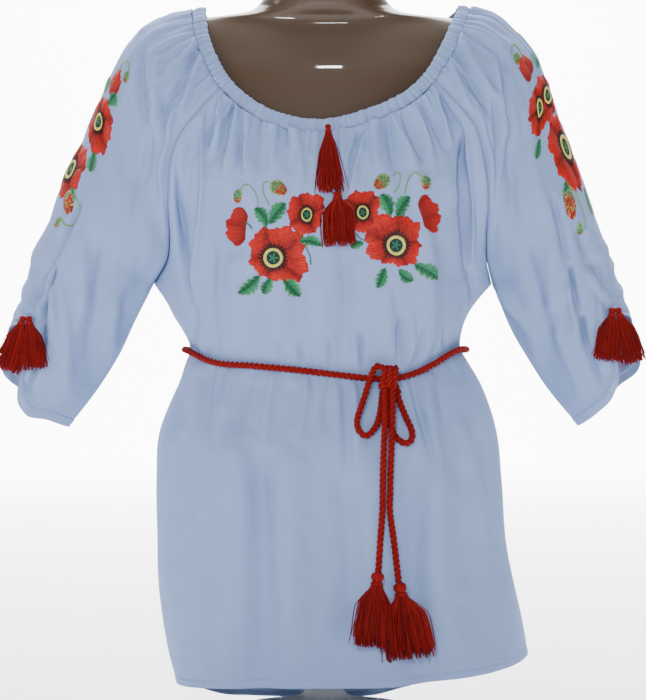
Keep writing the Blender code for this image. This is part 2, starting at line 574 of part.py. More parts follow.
def ellipse_ring(x0, y0, z, half_w, front, back, sides, power):
    angle = np.arange(sides) * 2 * math.pi / sides
    c, s = np.cos(angle), np.sin(angle)
    x = x0 + half_w * np.sign(c) * np.abs(c) ** (2 / power)
    depth = np.where(s < 0, front, back)
    y = y0 + depth * np.sign(s) * np.abs(s) ** (2 / power)
    return np.stack([x, y, np.full(sides, float(z))], 1)


def front_at(x, z):
    """Depth y of the front panel at one x and z, found on its own surface."""
    s, row = 0.0, 1.4
    for _ in range(40):
        here = body_panel(True, np.array([s]), np.array([row]))[0]
        ds = body_panel(True, np.array([s + 1e-4]), np.array([row]))[0] - here
        dr = body_panel(True, np.array([s]), np.array([row + 1e-4]))[0] - here
        matrix = np.array([[ds[0], dr[0]], [ds[2], dr[2]]]) / 1e-4
        move = np.linalg.solve(matrix, np.array([x - here[0], z - here[2]]))
        s = float(np.clip(s + move[0] * 0.7, -0.99, 0.99))
        row = float(np.clip(row + move[1] * 0.7, 0.02, 1.99))
    return float(here[1])


def on_front(table, count):
    """Path in front of the panel from rows of x, z and distance, evened out by length."""
    points = [(x, front_at(x, z) - CLOTH / 2 - dist, z) for x, z, dist in table]
    fine = curve(points, np.linspace(0, 1, 200))
    length = np.concatenate([[0], np.cumsum(np.linalg.norm(np.diff(fine, axis=0), axis=1))])
    want = np.linspace(0, length[-1], count)
    return np.stack([np.interp(want, length, fine[:, k]) for k in range(3)], 1)


def build_belt(mat):
    off = CLOTH / 2 + CORD_D / 2 + REST_GAP + 0.9
    s = panel_columns(28)[1:-1]
    sides = np.array([[-138.5, 0, 386.0], [149.0, 0, 386.0]])
    row = np.full_like(s, WAIST_ROW)
    loop = np.vstack([sides[:1], body_panel(True, s, row), sides[1:], body_panel(False, s, row)[::-1]])
    tangent = unit(np.roll(loop, -1, 0) - np.roll(loop, 1, 0))
    path = loop + unit(np.cross(tangent, (0.0, 0.0, 1.0))) * off
    keys = np.concatenate([[0], np.cumsum(np.linalg.norm(np.roll(path, -1, 0) - path, axis=1))])
    table = [(keys[i],) + tuple(path[i % len(path)]) for i in range(len(path) + 1)]
    even = smooth(table, np.arange(52) * keys[-1] / 52, closed=True)
    return tube("belt_cord", even, CORD_D, mat, closed=True)


def build_knot(mat):
    x, z, dist, half_w, half_h, half_d = KNOT
    middle = np.array([x, front_at(x, z) - CLOTH / 2 - dist, z])
    rings = []
    for t in np.linspace(-0.94, 0.94, 7):
        size = math.sqrt(1 - abs(t) ** 3)
        angle = np.arange(10) * 2 * math.pi / 10
        ring = np.stack([np.cos(angle) * half_w * size, np.sin(angle) * half_d * size,
                         np.full(10, half_h * t)], 1)
        rings.append(middle + ring)
    return ring_solid("bow_knot", rings, mat)


def build_cuff_ties(thread):
    for name, right in (("left", 0), ("right", 1)):
        way = 1.0 if right else -1.0
        w, row = np.array([CUFF_TIE_W]), np.array([CUFF_TIE_ROW])
        point = sleeve_surface(right, w, row)[0]
        du = sleeve_surface(right, w + 0.01, row)[0] - sleeve_surface(right, w - 0.01, row)[0]
        dv = sleeve_surface(right, w, row)[0] - sleeve_surface(right, w, row - 0.05)[0]
        out = unit(np.cross(du, dv))
        out = out * np.sign(out[0] * way - out[1])
        start = point + out * 9
        for number, (tx, ty, fx, fy, length, wide) in enumerate(CUFF_TASSELS, 1):
            top = start + np.array([way * tx, ty, -2.0])
            foot = start + np.array([way * fx, fy, -2.0 - length])
            tassel(f"cuff_tassel_{name}_{number}", top, foot, 4.5, wide, 4.5, thread)


def tassel(name, top, foot, head_half, foot_half, depth_half, mat, toward=(0, -1, 0)):
    """Tied head over a flaring skirt, drawn as rings from top to foot."""
    top, foot = np.array(top, float), np.array(foot, float)
    axis = unit(foot - top)
    out = unit(np.array(toward, float) - axis * np.dot(toward, axis))
    side = np.cross(axis, out)
    length = np.linalg.norm(foot - top)
    profile = [(0.0, 0.45), (0.04, 0.85), (0.12, 1.0), (0.19, 0.85), (0.24, 0.72), (0.40, 0.45),
               (0.80, 0.10), (0.97, 0.0), (1.0, 0.08)]
    rings = []
    angle = np.arange(10) * 2 * math.pi / 10
    for frac, blend in profile:
        if frac <= 0.24:
            half_w, half_d = head_half * blend, min(head_half, depth_half) * blend
        else:
            half_w = foot_half + (head_half * 0.72 - foot_half) * blend / 0.72
            half_d = depth_half + (head_half * 0.72 - depth_half) * blend / 0.72
        middle = top + axis * length * frac
        rings.append(middle + side * (np.cos(angle) * half_w)[:, None] + out * (np.sin(angle) * half_d)[:, None])
    return ring_solid(name, rings, mat)


def clear_scene():
    for obj in list(bpy.data.objects):
        bpy.data.objects.remove(obj, do_unlink=True)


def main():
    clear_scene()
    white = material("crepe_white", (0.62, 0.70, 0.80), 0.85)
    red = material("cord_red", (0.20, 0.008, 0.008), 0.8)
    thread = material("tassel_red", (0.22, 0.008, 0.008), 0.85)
    brown = material("form_brown", (0.045, 0.028, 0.016), 0.25)
    pale = material("foot_pale", (0.75, 0.77, 0.80), 0.4)
    build_cloth(white)
    build_band(white)
    build_belt(red)
    rings = [ellipse_ring(FORM_X, 0, z, a, f, b, 28, FORM_POWER) for z, a, f, b in FORM]
    ring_solid("dress_form", rings, brown)
    ring_solid("form_foot", [ellipse_ring(FORM_X, 0, z, a, b, b, 24, 2.0) for z, a, b in FOOT], pale)
    tube("bow_loop_left", on_front(LOOP_LEFT, 18), CORD_D, red, sides=6)
    tube("bow_loop_right", on_front(LOOP_RIGHT, 18), CORD_D, red, sides=6)
    tube("belt_end_left", on_front(END_LEFT, 12), CORD_D, red, sides=6)
    tube("belt_end_right", on_front(END_RIGHT, 13), CORD_D, red, sides=6)
    build_knot(red)
    for name, (x0, z0, x1, z1, head, wide, deep) in {**BELT_TASSELS, **NECK_TASSELS}.items():
        out = CLOTH / 2 + deep + 1.5
        top = (x0, front_at(x0, min(z0, 604)) - out, z0)
        foot = (x1, front_at(x1, z1) - out, z1)
        tassel(name, top, foot, head, wide, deep, thread)
    build_cuff_ties(thread)


main()
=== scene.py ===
"""Looks of the embroidered peasant blouse on its dress form.

Every surface is an array of points from a few tables, in millimetres until a mesh is made.
+Z is up, the front faces -Y.
"""
import math

import bmesh
import bpy
import numpy as np
from bpy.props import FloatProperty, FloatVectorProperty, IntProperty, PointerProperty
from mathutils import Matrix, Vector


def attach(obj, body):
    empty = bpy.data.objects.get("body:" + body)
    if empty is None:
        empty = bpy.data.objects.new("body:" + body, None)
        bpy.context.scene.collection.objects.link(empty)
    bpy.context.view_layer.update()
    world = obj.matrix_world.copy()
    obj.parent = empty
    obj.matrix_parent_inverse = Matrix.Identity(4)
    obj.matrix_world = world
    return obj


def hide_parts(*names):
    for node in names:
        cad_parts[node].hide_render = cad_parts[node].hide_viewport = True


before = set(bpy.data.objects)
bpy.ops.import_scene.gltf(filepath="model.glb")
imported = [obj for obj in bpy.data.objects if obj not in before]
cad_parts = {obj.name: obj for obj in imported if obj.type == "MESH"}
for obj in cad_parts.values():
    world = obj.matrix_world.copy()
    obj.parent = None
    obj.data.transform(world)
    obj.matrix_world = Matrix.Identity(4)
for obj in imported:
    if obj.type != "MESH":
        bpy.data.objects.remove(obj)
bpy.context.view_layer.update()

bl_info = {
    "name": "Embroidered blouse looks",
    "version": (1, 0, 0),
    "blender": (4, 5, 0),
    "location": "View3D > Sidebar > Blouse",
    "description": "Builds the cloth, embroidery, cords and form of one blouse in the frame of its solid",
    "category": "Object",
}

# Driving sizes, in millimetres unless the name says metres.
MM = 0.001              # metres in a millimetre
WELD = 1e-7             # metres between points that count as one
CLOTH = 1.6             # wall of the solid that the looks follow
SEAM_INSET = 0.3        # half the room between neighbouring pieces
BAND_THICK = 4.6        # gathered casing over its elastic
CORD_D = 7.2            # belt cord
REST_GAP = 0.5          # free space between cloth and what lies on it
BELT_EASE = 0.9         # more room, for the folds under the belt
UNDERARM_Z = 455.0
WAIST_Z = 386.0
BACK_BELT_Z = 384.0
WAIST_ROW = 1.17        # row of a body panel that lies at the waist
BODY_DROP = 480         # millimetres, roughly, in the body's row below the underarm
SLEEVE_DROP = 165       # roughly the same for a sleeve
SLEEVE_GIRTH = 330      # millimetres, roughly, once round a sleeve
HEM_TURN = 9            # height of the stitched hems
FORM_X = 4.0            # middle of the form
FORM_POWER = 2.25       # superellipse of its sections
CUFF_TIE_W = 0.33       # where the cuff's tie sits, across and along the sleeve
CUFF_TIE_ROW = 1.93
SLEEVE_AXIS_X = 0.44    # direction of a sleeve below the underarm
SLEEVE_AXIS_Z = -0.90
STITCH_SINK = 0.35      # how far stitches settle into the cloth
FLAT_FRONT = (0.48, 0.62)      # flat sizes in metres
FLAT_BACK = (0.46, 0.70)

# Neck casing, round the body from the left front raglan seam over the front.
# columns: upper edge x, y, z, lower edge x, y, z
BAND = [
    (-93.5, -76.0, 666.0, -104.0, -79.0, 658.0),    # left front raglan seam
    (-50.0, -96.0, 633.0, -55.0, -100.0, 620.0),
    (-2.0, -101.5, 623.0, -2.0, -105.5, 610.0),     # centre front
    (48.0, -98.0, 634.0, 52.0, -102.0, 621.0),
    (94.0, -84.0, 658.0, 103.0, -87.0, 648.0),
    (109.0, -74.0, 674.0, 119.0, -77.0, 666.0),     # right front raglan seam
    (121.0, -61.0, 694.0, 133.5, -63.0, 688.0),
    (136.5, -34.0, 727.0, 149.0, -36.0, 724.0),
    (146.0, 2.0, 749.0, 158.0, 2.0, 746.0),         # right shoulder crest
    (140.0, 36.0, 744.0, 150.0, 40.0, 737.0),
    (106.0, 62.0, 725.0, 112.0, 68.0, 712.0),       # right back raglan seam
    (60.0, 78.0, 712.0, 62.0, 83.0, 699.0),
    (4.0, 83.0, 706.0, 4.0, 88.0, 693.0),           # centre back
    (-52.0, 78.0, 710.0, -54.0, 83.0, 697.0),
    (-92.0, 61.0, 721.0, -98.0, 67.0, 708.0),       # left back raglan seam
    (-120.0, 34.0, 739.0, -130.0, 38.0, 732.0),
    (-122.0, 0.0, 747.0, -135.0, 0.0, 744.0),       # left shoulder crest
    (-114.0, -53.0, 705.0, -127.0, -56.0, 701.0),
]
SEAM_LF, SEAM_RF, CREST_R, SEAM_RB, SEAM_LB, CREST_L = 0, 5, 8, 10, 14, 16

# Raglan seams from the neck casing to the underarm, equal rows.  columns: x, y, z
RAGLAN_LEFT_FRONT = [
    (-104, -79, 658), (-124, -80, 636), (-143, -79, 613), (-154, -75, 588), (-158, -69, 560),
    (-159, -59, 532), (-158, -47, 506), (-161, -29, 480), (-176.5, 0, 455),
]
RAGLAN_RIGHT_FRONT = [
    (119, -77, 666), (140, -80, 643), (160, -79, 618), (168, -75, 592), (174, -68, 561),
    (175, -58, 533), (173.5, -44, 506), (175, -24, 479), (181.5, 0, 455),
]
RAGLAN_LEFT_BACK = [
    (-98, 67, 708), (-118, 74, 678), (-134, 78, 648), (-146, 78, 616), (-153, 74, 584),
    (-157, 66, 552), (-160, 52, 520), (-165, 31, 488), (-176.5, 0, 455),
]
RAGLAN_RIGHT_BACK = [
    (112, 68, 712), (132, 75, 683), (149, 79, 652), (161, 78, 619), (168, 74, 586),
    (172, 66, 553), (174, 52, 520), (176, 31, 487), (181.5, 0, 455),
]
# Side seams of the body from underarm to hem.  columns: z, left x, right x
SIDES = [
    (455, -176.5, 181.5), (433, -162, 163), (420, -155.5, 155), (405, -146, 150),
    (386, -138.5, 149), (372, -143.5, 157), (352, -150, 169), (332, -159, 177.5),
    (302, -170.5, 186.5), (248, -174.5, 192.5), (188, -173.5, 197), (142, -172.5, 206),
    (107, -168.5, 213.5), (67, -161.5, 219.5), (35, -152.5, 222),
]
HEM_CORNERS = (35.0, 67.0)     # left and right side seam ends
# Where the middle of each panel takes its width from.  columns: z, left x, right x
CORE = [
    (712, -112, 124), (660, -128, 142), (613, -144, 158), (560, -152, 168), (500, -153, 167),
    (455, -150, 162), (420, -144, 156), (386, -138.5, 149), (372, -143.5, 157), (352, -150, 169),
    (332, -159, 177.5), (302, -170.5, 186.5), (248, -174.5, 192.5), (188, -173.5, 197),
    (142, -172.5, 206), (107, -168.5, 213.5), (67, -161.5, 219.5), (3, -152.5, 222),
]
# Half depth of the body.  columns: z, front, back
DEPTHS = [
    (706, 70, 86), (680, 84, 94), (650, 95, 100), (610, 105.5, 104), (570, 121, 104),
    (530, 128, 102), (490, 128, 99), (455, 124, 97), (420, 114, 92), (386, 102, 89),
    (372, 105, 92), (350, 113, 98), (332, 119, 104), (302, 128, 114), (248, 137, 126),
    (188, 143, 136), (107, 148, 145), (41, 150, 149), (3, 150, 150),
]
# Hem lines.  columns: x, z
FRONT_HEM = [
    (-152.5, 35), (-140, 35), (-125, 36), (-104, 38), (-50, 40.5), (0, 41), (50, 41.5),
    (82, 43), (110, 47), (134, 49), (158, 51), (182, 54), (208, 60), (222, 67),
]
BACK_HEM = [
    (-152.5, 35), (-140, 26), (-106, 9.5), (-75, 6), (-43, 4), (0, 3), (32, 2.6), (48, 3.4),
    (63, 5.5), (80, 10), (120, 22), (170, 43), (205, 58), (222, 67),
]
# Waist line lifts and dips under the belt.  columns: x, rise above z = 386
WAIST_RISE = [(-140, -2), (-115, -12), (-66, -17), (-16, -22), (24, -27), (54, -30), (81, -29),
              (104, -21), (131, -6), (150, 5)]

# Largest folds of the body.
# columns: s at the top, s at the foot, first v, last v, width in s, height
FRONT_FOLDS = [
    (-0.84, -0.86, 0.00, 0.30, 0.060, 4.0), (-0.66, -0.70, 0.00, 0.22, 0.050, 3.6),
    (-0.48, -0.54, 0.00, 0.20, 0.055, 3.4), (-0.27, -0.30, 0.00, 0.16, 0.050, 3.0),
    (-0.08, -0.10, 0.00, 0.14, 0.045, 2.6), (0.15, 0.12, 0.00, 0.15, 0.045, 3.0),
    (0.36, 0.40, 0.00, 0.20, 0.055, 3.6), (0.58, 0.62, 0.00, 0.22, 0.050, 3.4),
    (0.78, 0.82, 0.00, 0.30, 0.060, 4.2),
    (-0.93, -0.93, 0.06, 0.40, 0.035, -4.0), (0.91, 0.91, 0.06, 0.40, 0.035, -4.0),
    (-0.55, -0.66, 0.50, 1.00, 0.110, 5.0), (-0.18, -0.24, 0.52, 0.98, 0.100, 4.0),
    (0.16, 0.20, 0.50, 0.96, 0.090, 4.5), (0.62, 0.66, 0.50, 1.00, 0.110, 5.0),
    (-0.38, -0.45, 0.55, 1.00, 0.070, -3.5), (0.40, 0.46, 0.55, 1.00, 0.080, -4.0),
    (-0.84, -0.80, 0.55, 0.95, 0.060, -4.0), (0.84, 0.80, 0.55, 0.95, 0.060, -4.0),
]
BACK_FOLDS = [
    (-0.74, -0.80, 0.00, 0.28, 0.060, 3.8), (-0.44, -0.50, 0.00, 0.22, 0.060, 3.4),
    (-0.14, -0.16, 0.00, 0.18, 0.055, 3.0), (0.18, 0.22, 0.00, 0.20, 0.060, 3.2),
    (0.50, 0.54, 0.00, 0.24, 0.060, 3.6), (0.78, 0.82, 0.00, 0.28, 0.060, 3.8),
    (-0.60, -0.66, 0.54, 1.00, 0.120, 4.5), (-0.10, -0.14, 0.54, 0.98, 0.110, 4.0),
    (0.34, 0.40, 0.54, 1.00, 0.120, 4.5), (0.74, 0.80, 0.56, 1.00, 0.090, 4.0),
    (-0.34, -0.38, 0.56, 1.00, 0.090, -3.5), (0.12, 0.14, 0.56, 1.00, 0.090, -3.0),
]

# Outer line of each sleeve above the underarm, equal rows.  columns: x, y, z
OUTER_LEFT = [
    (-135, 0, 744), (-163, 0, 738), (-186.5, 0, 726), (-206, 0, 705), (-222, 0, 676),
    (-236, 0, 645), (-252, 0, 608), (-271, 0, 568), (-286.5, 0, 523),
]
OUTER_RIGHT = [
    (158, 2, 746), (181, 2, 740), (202, 1, 724), (219, 0, 706), (233, 0, 684),
    (243, 0, 655), (254, 0, 622), (272, 0, 579), (291.5, 0, 523),
]
# Sleeve below the underarm.
# columns: h along the sleeve, inner x, inner z, outer x, outer z, half depth
TUBE_LEFT = [
    (0.00, -176.5, 455, -286.5, 523, 58), (0.25, -197, 414, -305, 487, 55),
    (0.50, -213, 380, -313, 451, 52), (0.75, -237, 342, -330, 412, 50),
    (1.00, -266.5, 304, -344, 378, 47),
]
TUBE_RIGHT = [
    (0.00, 181.5, 455, 291.5, 523, 58), (0.25, 200, 410, 306, 487, 55),
    (0.50, 217.5, 379, 315, 456, 52), (0.75, 241, 343, 330, 420, 50),
    (1.00, 272.5, 305, 343, 388, 47),
]
# How far the cuff hangs below (+) or is drawn up above (-) its line.  columns: w, drop
CUFF_LEFT = [
    (0.00, 0), (0.11, 9), (0.20, 20), (0.26, 8), (0.33, -60), (0.40, -46), (0.50, -28),
    (0.60, 6), (0.75, 10), (1.00, 0),
]
CUFF_RIGHT = [
    (0.00, 0), (0.11, 5), (0.20, 5), (0.26, -8), (0.33, -62), (0.40, -48), (0.50, -26),
    (0.60, 10), (0.75, 10), (1.00, 0),
]

# Dress form rings.  columns: z, half width, front depth, back depth
FORM = [
    (79, 52, 40, 40), (80.5, 70, 54, 53), (85, 88, 68, 66), (98, 103, 80, 79), (130, 118, 90, 93),
    (190, 129, 98, 106), (250, 134, 100, 108), (300, 131, 95, 99), (350, 124, 87, 86),
    (386, 120, 84, 80), (420, 123, 90, 82), (460, 132, 103, 86), (500, 142, 114, 89),
    (535, 149, 116, 91), (570, 152, 110, 92), (610, 156, 97, 92), (650, 166, 84, 88),
    (680, 177, 71, 80), (700, 182, 58, 71), (715, 180, 48, 61), (725, 171, 41, 53),
    (732, 155, 37, 48), (737, 128, 38, 46), (739.5, 104, 40, 47.5), (742, 88, 42, 49.5),
    (746, 76, 44, 51), (753, 68, 45.5, 52), (765, 63, 46, 52), (790, 60, 46, 51.5),
    (797, 57, 44, 49), (800, 50, 38, 43),
]
# Foot of the form.  columns: z, half width, half depth
FOOT = [(0, 80, 62), (9, 80, 62), (13, 76, 58), (17, 40, 34), (26, 19, 19), (60, 18, 18),
        (70, 24, 24), (78.6, 34, 34)]

# Belt bow, measured outwards from the skirt.  columns: x, z, distance of the cord's middle
LOOP_LEFT = [(58.0, 369, 13), (53.0, 361.5, 13), (47.5, 345, 11), (43, 331, 7), (37.5, 314, 4.5),
             (39.5, 303, 4.5), (47.5, 298, 4.5), (56.5, 307, 4.8), (61.5, 322, 5.2), (63.7, 340, 6.0)]
LOOP_RIGHT = [(79.4, 343, 6.2), (80.5, 335, 5.6), (86.5, 319, 5.0), (93.5, 303, 4.5), (93, 293.5, 4.5),
              (87, 290, 4.5), (78, 295.5, 4.6), (72, 307, 4.8), (71.3, 322, 5.2), (71.4, 340, 6.2)]
END_LEFT = [(66.4, 345, 17), (66.2, 325, 15.5), (65.5, 305, 14), (64.5, 286, 12.6), (63.6, 262, 7),
            (63.2, 240, 4.6), (62.8, 221, 4.4), (60.5, 190, 4.4), (58.8, 164, 4.4)]
END_RIGHT = [(74.0, 345, 17), (73.8, 325, 15.5), (73.2, 305, 14), (72.3, 286, 12.6), (71.3, 262, 7),
             (70.9, 240, 4.6), (70.6, 221, 4.4), (75, 188, 4.4), (79, 153, 4.8)]
KNOT_PITCH = 15.0       # twist of the cord within the knot
KNOT = (70.4, 357.5, 19.0, 9.0, 11.0, 7.6)     # x, z, distance, half width, half height, half depth
# Tassels: a small head over a flaring skirt of threads.
# columns: top x, top z, foot x, foot z, head half width, foot half width, half depth
BELT_TASSELS = {
    "belt_tassel_left": (58.3, 160.5, 50.5, 87, 7.5, 16.5, 8),
    "belt_tassel_right": (80.0, 149.5, 90.5, 74, 7.5, 22, 8),
}
NECK_TASSELS = {
    "neck_tassel_upper": (7.5, 617, 11, 549, 5.0, 12.5, 5),
    "neck_tassel_lower": (17, 547.5, 20, 493, 5.5, 15, 5.5),
}
# Cuff tassels hang from the drawn-up point of the cuff.
# columns: shift of the top in x and y, shift of the foot in x and y, length, foot half width
CUFF_TASSELS = [(-5, -3, -6, -9, 52, 8.5), (6, -3, 16, -8, 54, 9.5)]

# Hanging gathers.  columns: seed, count, shortest and longest, lowest and highest, width
FRONT_GATHERS = (11, 46, (16, 85), (1.2, 4.2), 0.34)
BACK_GATHERS = (13, 40, (16, 95), (1.2, 4.2), 0.34)
FRONT_BELT_GATHERS = (12, 30, (9, 34), (1.0, 3.4), 0.32)
BACK_BELT_GATHERS = (14, 30, (9, 34), (1.0, 3.4), 0.32)
SLEEVE_GATHERS = ((31, 34, (24, 130), (1.3, 4.4), 0.34), (32, 34, (24, 130), (1.3, 4.4), 0.34))
# How much of a crease's height is given to the cloth.
FRONT_CREASE, BACK_CREASE, SLEEVE_CREASE = 2.2, 2.0, 2.1

# Creases of the front.  columns: x and z where it starts, x and z where it ends, width, height
FRONT_CREASES = [
    (-131, 617, -136, 401, 3, 3), (-140, 622, -140, 401, 4, -5), (145, 614, 152, 427, 3, 3),
    (155, 601, 157, 427, 4, -5), (41, 609, 27, 548, 2, -2.2), (47, 609, 34, 550, 3, 2),
    (-110, 659, -128, 620, 4, 3.5), (-101, 651, -112, 591, 4, 3), (-106, 645, -121, 591, 3, -2.5),
    (-87, 640, -97, 562, 5, 3.2), (-93, 638, -105, 581, 3, -2.6), (-71, 630, -77, 550, 5, 3),
    (-77, 630, -85, 570, 3, -2.4), (-50, 623, -52, 560, 5, 2.6), (-59, 624, -64, 570, 3, -2.2),
    (-26, 618, -21, 550, 6, 2.4), (-37, 618, -36, 570, 3, -2), (-9, 616, -11, 576, 4, 1.8),
    (23, 616, 21, 576, 4, 2), (53, 620, 63, 565, 5, 3), (64, 622, 77, 570, 3, -2.4),
    (75, 627, 92, 573, 5, 3.2), (86, 632, 102, 581, 3, -2.6), (95, 636, 115, 576, 5, 3.4),
    (106, 642, 127, 591, 3, -2.6), (115, 651, 135, 601, 4, 3.6), (124, 653, 142, 612, 3, -2.4),
    (1, 524, -3, 385, 12, 3.2), (-21, 476, -21, 385, 8, -2), (25, 478, 22, 385, 8, -2.2),
    (107, 509, 106, 391, 10, 2.6), (76, 447, 80, 385, 7, -2), (-83, 478, -87, 385, 12, 2.4),
    (-57, 437, -60, 385, 7, -1.8), (-109, 488, -114, 391, 8, -2.2), (32, 401, 36, 369, 3, 2.4),
    (40, 403, 47, 369, 2.5, -2.4), (86, 414, 80, 373, 3, -3.2), (94, 416, 89, 375, 3, 2.6),
    (106, 406, 102, 379, 2.5, -2), (-21, 391, -18, 371, 3, -1.6), (-46, 394, -44, 373, 3, 1.5),
    (-73, 398, -73, 377, 3, -1.5), (10, 391, 12, 369, 2.5, -1.8), (128, 408, 130, 387, 3, -1.6),
    (-98, 401, -99, 383, 3, 1.5), (-18, 361, -21, 293, 4, 1.6), (30, 350, 23, 262, 5, -2.4),
    (37, 350, 32, 272, 4, 2), (94, 350, 112, 262, 4, -3), (102, 353, 123, 252, 6, 2.6),
    (115, 363, 133, 303, 4, -2), (10, 357, 6, 303, 4, -1.8), (-73, 367, -79, 303, 5, -1.8),
    (-47, 363, -54, 262, 6, 1.8), (-109, 371, -120, 293, 6, -2.2), (-93, 369, -101, 313, 5, 2),
    (-88, 293, -103, 36, 22, 5), (-134, 334, -128, 36, 16, -4), (-21, 283, -32, 36, 20, 3.5),
    (-57, 262, -67, 36, 12, -3), (25, 252, 20, 36, 16, -3), (66, 262, 73, 36, 20, 3),
    (123, 262, 133, 36, 20, 4.5), (97, 231, 107, 36, 12, -3), (164, 303, 184, 56, 16, -4),
    (145, 303, 158, 169, 10, 3),
]
# Creases of the sleeves, the same columns, used on the front half and, moved, on the back half
LEFT_CREASES = [
    (-130, 711, -178, 636, 4, 3.5), (-126, 699, -163, 641, 3, -3), (-121, 686, -149, 626, 4, 3.2),
    (-185, 701, -181, 615, 4, -3.5), (-175, 688, -172, 605, 5, 3), (-181, 615, -191, 526, 6, -2.6),
    (-209, 657, -218, 542, 8, 2.4), (-155, 636, -161, 568, 4, 3), (-163, 641, -168, 568, 3, -2.6),
    (-159, 594, -163, 505, 4, 2.6), (-161, 485, -201, 419, 5, 3), (-168, 469, -207, 396, 4, -3),
    (-178, 448, -218, 370, 6, 2.6), (-246, 505, -253, 417, 8, 2.4), (-230, 490, -236, 354, 9, -2.4),
    (-209, 438, -230, 333, 7, 2.2), (-270, 438, -272, 333, 7, 2),
    (-256, 540, -281, 470, 4, -4), (-281, 470, -289, 412, 3, -6.5), (-289, 412, -293, 380, 3, -6.5),
    (-292, 470, -297, 434, 7, -3), (-282, 505, -296, 462, 8, -3),
    (-293, 380, -304, 345, 3, -3.5), (-278, 452, -281, 400, 5, 3),
    (-298, 428, -272, 462, 4, 2.4), (-303, 430, -296, 480, 4, -2.2), (-308, 428, -312, 470, 4, 2),
]
RIGHT_CREASES = [
    (148, 709, 187, 641, 4, 3.5), (141, 697, 175, 636, 3, -3), (135, 682, 164, 620, 4, 3.2),
    (192, 688, 200, 605, 4, -3), (182, 678, 190, 594, 5, 3), (200, 605, 196, 511, 6, -2.6),
    (224, 636, 229, 521, 7, 2.2), (168, 631, 177, 563, 4, 3), (177, 636, 185, 563, 3, -2.6),
    (171, 573, 177, 500, 4, 2.4), (174, 481, 210, 417, 5, 3), (180, 467, 221, 391, 4, -3),
    (189, 448, 234, 365, 6, 2.6), (234, 500, 246, 417, 8, 2.4), (219, 490, 237, 375, 8, -2.4),
    (250, 406, 271, 338, 6, 2), (240, 540, 260, 470, 4, -4), (260, 470, 273, 419, 3, -6.5),
    (273, 419, 280, 388, 3, -6.5),
    (290, 480, 298, 440, 7, -3), (270, 510, 286, 462, 8, -3),
    (280, 388, 293, 352, 3, -3.5), (258, 452, 268, 400, 5, 3), (302, 437, 280, 470, 4, 2.4),
    (308, 440, 300, 490, 4, -2.2),
    (312, 438, 318, 476, 4, 2),
]


def smooth(table, at, closed=False):
    """Values of a table at the keys `at`: cubic pieces through its rows, slopes from neighbours."""
    rows = np.array(sorted(table), dtype=float)
    key = rows[:, 0]
    val = rows[:, 1:]
    at = np.clip(np.asarray(at, dtype=float), key[0], key[-1])
    step = np.diff(key)[:, None]
    slope = np.diff(val, axis=0) / step
    if closed:
        mid = (slope * np.roll(step, 1, 0) + np.roll(slope, 1, 0) * step) / (step + np.roll(step, 1, 0))
        tangent = np.vstack([mid, mid[:1]])
    else:
        mid = (slope[1:] * step[:-1] + slope[:-1] * step[1:]) / (step[1:] + step[:-1])
        tangent = np.vstack([slope[:1], mid, slope[-1:]])
    i = np.clip(np.searchsorted(key, at, side="right") - 1, 0, len(key) - 2)
    h = (key[i + 1] - key[i])[..., None]
    t = (at - key[i])[..., None] / h
    out = (val[i] * (2 * t**3 - 3 * t**2 + 1) + tangent[i] * h * (t**3 - 2 * t**2 + t)
           + val[i + 1] * (3 * t**2 - 2 * t**3) + tangent[i + 1] * h * (t**3 - t**2))
    return out[..., 0] if out.shape[-1] == 1 else out


def curve(points, at):
    """Smooth curve through equally keyed points, `at` running from 0 to 1."""
    n = len(points) - 1
    return smooth([(i,) + tuple(p) for i, p in enumerate(points)], np.asarray(at) * n)


def unit(v):
    """Vectors divided by their length."""
    return v / np.maximum(np.linalg.norm(v, axis=-1, keepdims=True), 1e-12)


def ease(x):
    """Smooth step from 0 to 1: three x squared less two x cubed."""
    x = np.clip(x, 0.0, 1.0)
    return x * x * (3 - 2 * x)


def band_keys():
    """Running length along the middle of the casing at each of its rows."""
    rows = np.array(BAND)
    mid = (rows[:, :3] + rows[:, 3:]) / 2
    step = np.linalg.norm(np.roll(mid, -1, 0) - mid, axis=1)
    return np.concatenate([[0], np.cumsum(step)])


BAND_KEY = band_keys()


def band_edges(at):
    """Upper and lower edge of the casing at lengths `at` along it."""
    table = [(BAND_KEY[i],) + tuple(BAND[i % len(BAND)]) for i in range(len(BAND) + 1)]
    both = smooth(table, np.mod(at, BAND_KEY[-1]), closed=True)
    return both[..., :3], both[..., 3:]


def under_band(first, last, frac):
    """Line just below the casing between two of its rows."""
    upper, lower = band_edges(BAND_KEY[first] + (BAND_KEY[last] - BAND_KEY[first]) * frac)
    return lower + unit(lower - upper) * 2 * SEAM_INSET


def start_at_band():
    """Begin each raglan seam on the line just below the casing."""
    for table, row in ((RAGLAN_LEFT_FRONT, SEAM_LF), (RAGLAN_RIGHT_FRONT, SEAM_RF),
                       (RAGLAN_RIGHT_BACK, SEAM_RB), (RAGLAN_LEFT_BACK, SEAM_LB)):
        table[0] = tuple(under_band(row, row, 0.0))


start_at_band()


def fold_height(folds, across, down):
    """Sum of bell-shaped ridges that run down a panel and fade at both ends."""
    total = np.zeros(np.broadcast(across, down).shape)
    for top, foot, start, stop, width, height in folds:
        along = (down - start) / (stop - start)
        middle = top + (foot - top) * along
        open_start = 1.0 if start == 0.0 else ease(along * 4)
        open_stop = 1.0 if stop == 1.0 else ease((1 - along) * 2.5)
        inside = (along >= 0) & (along <= 1)
        total += height * inside * open_start * open_stop * np.exp(-((across - middle) / width) ** 2)
    return total


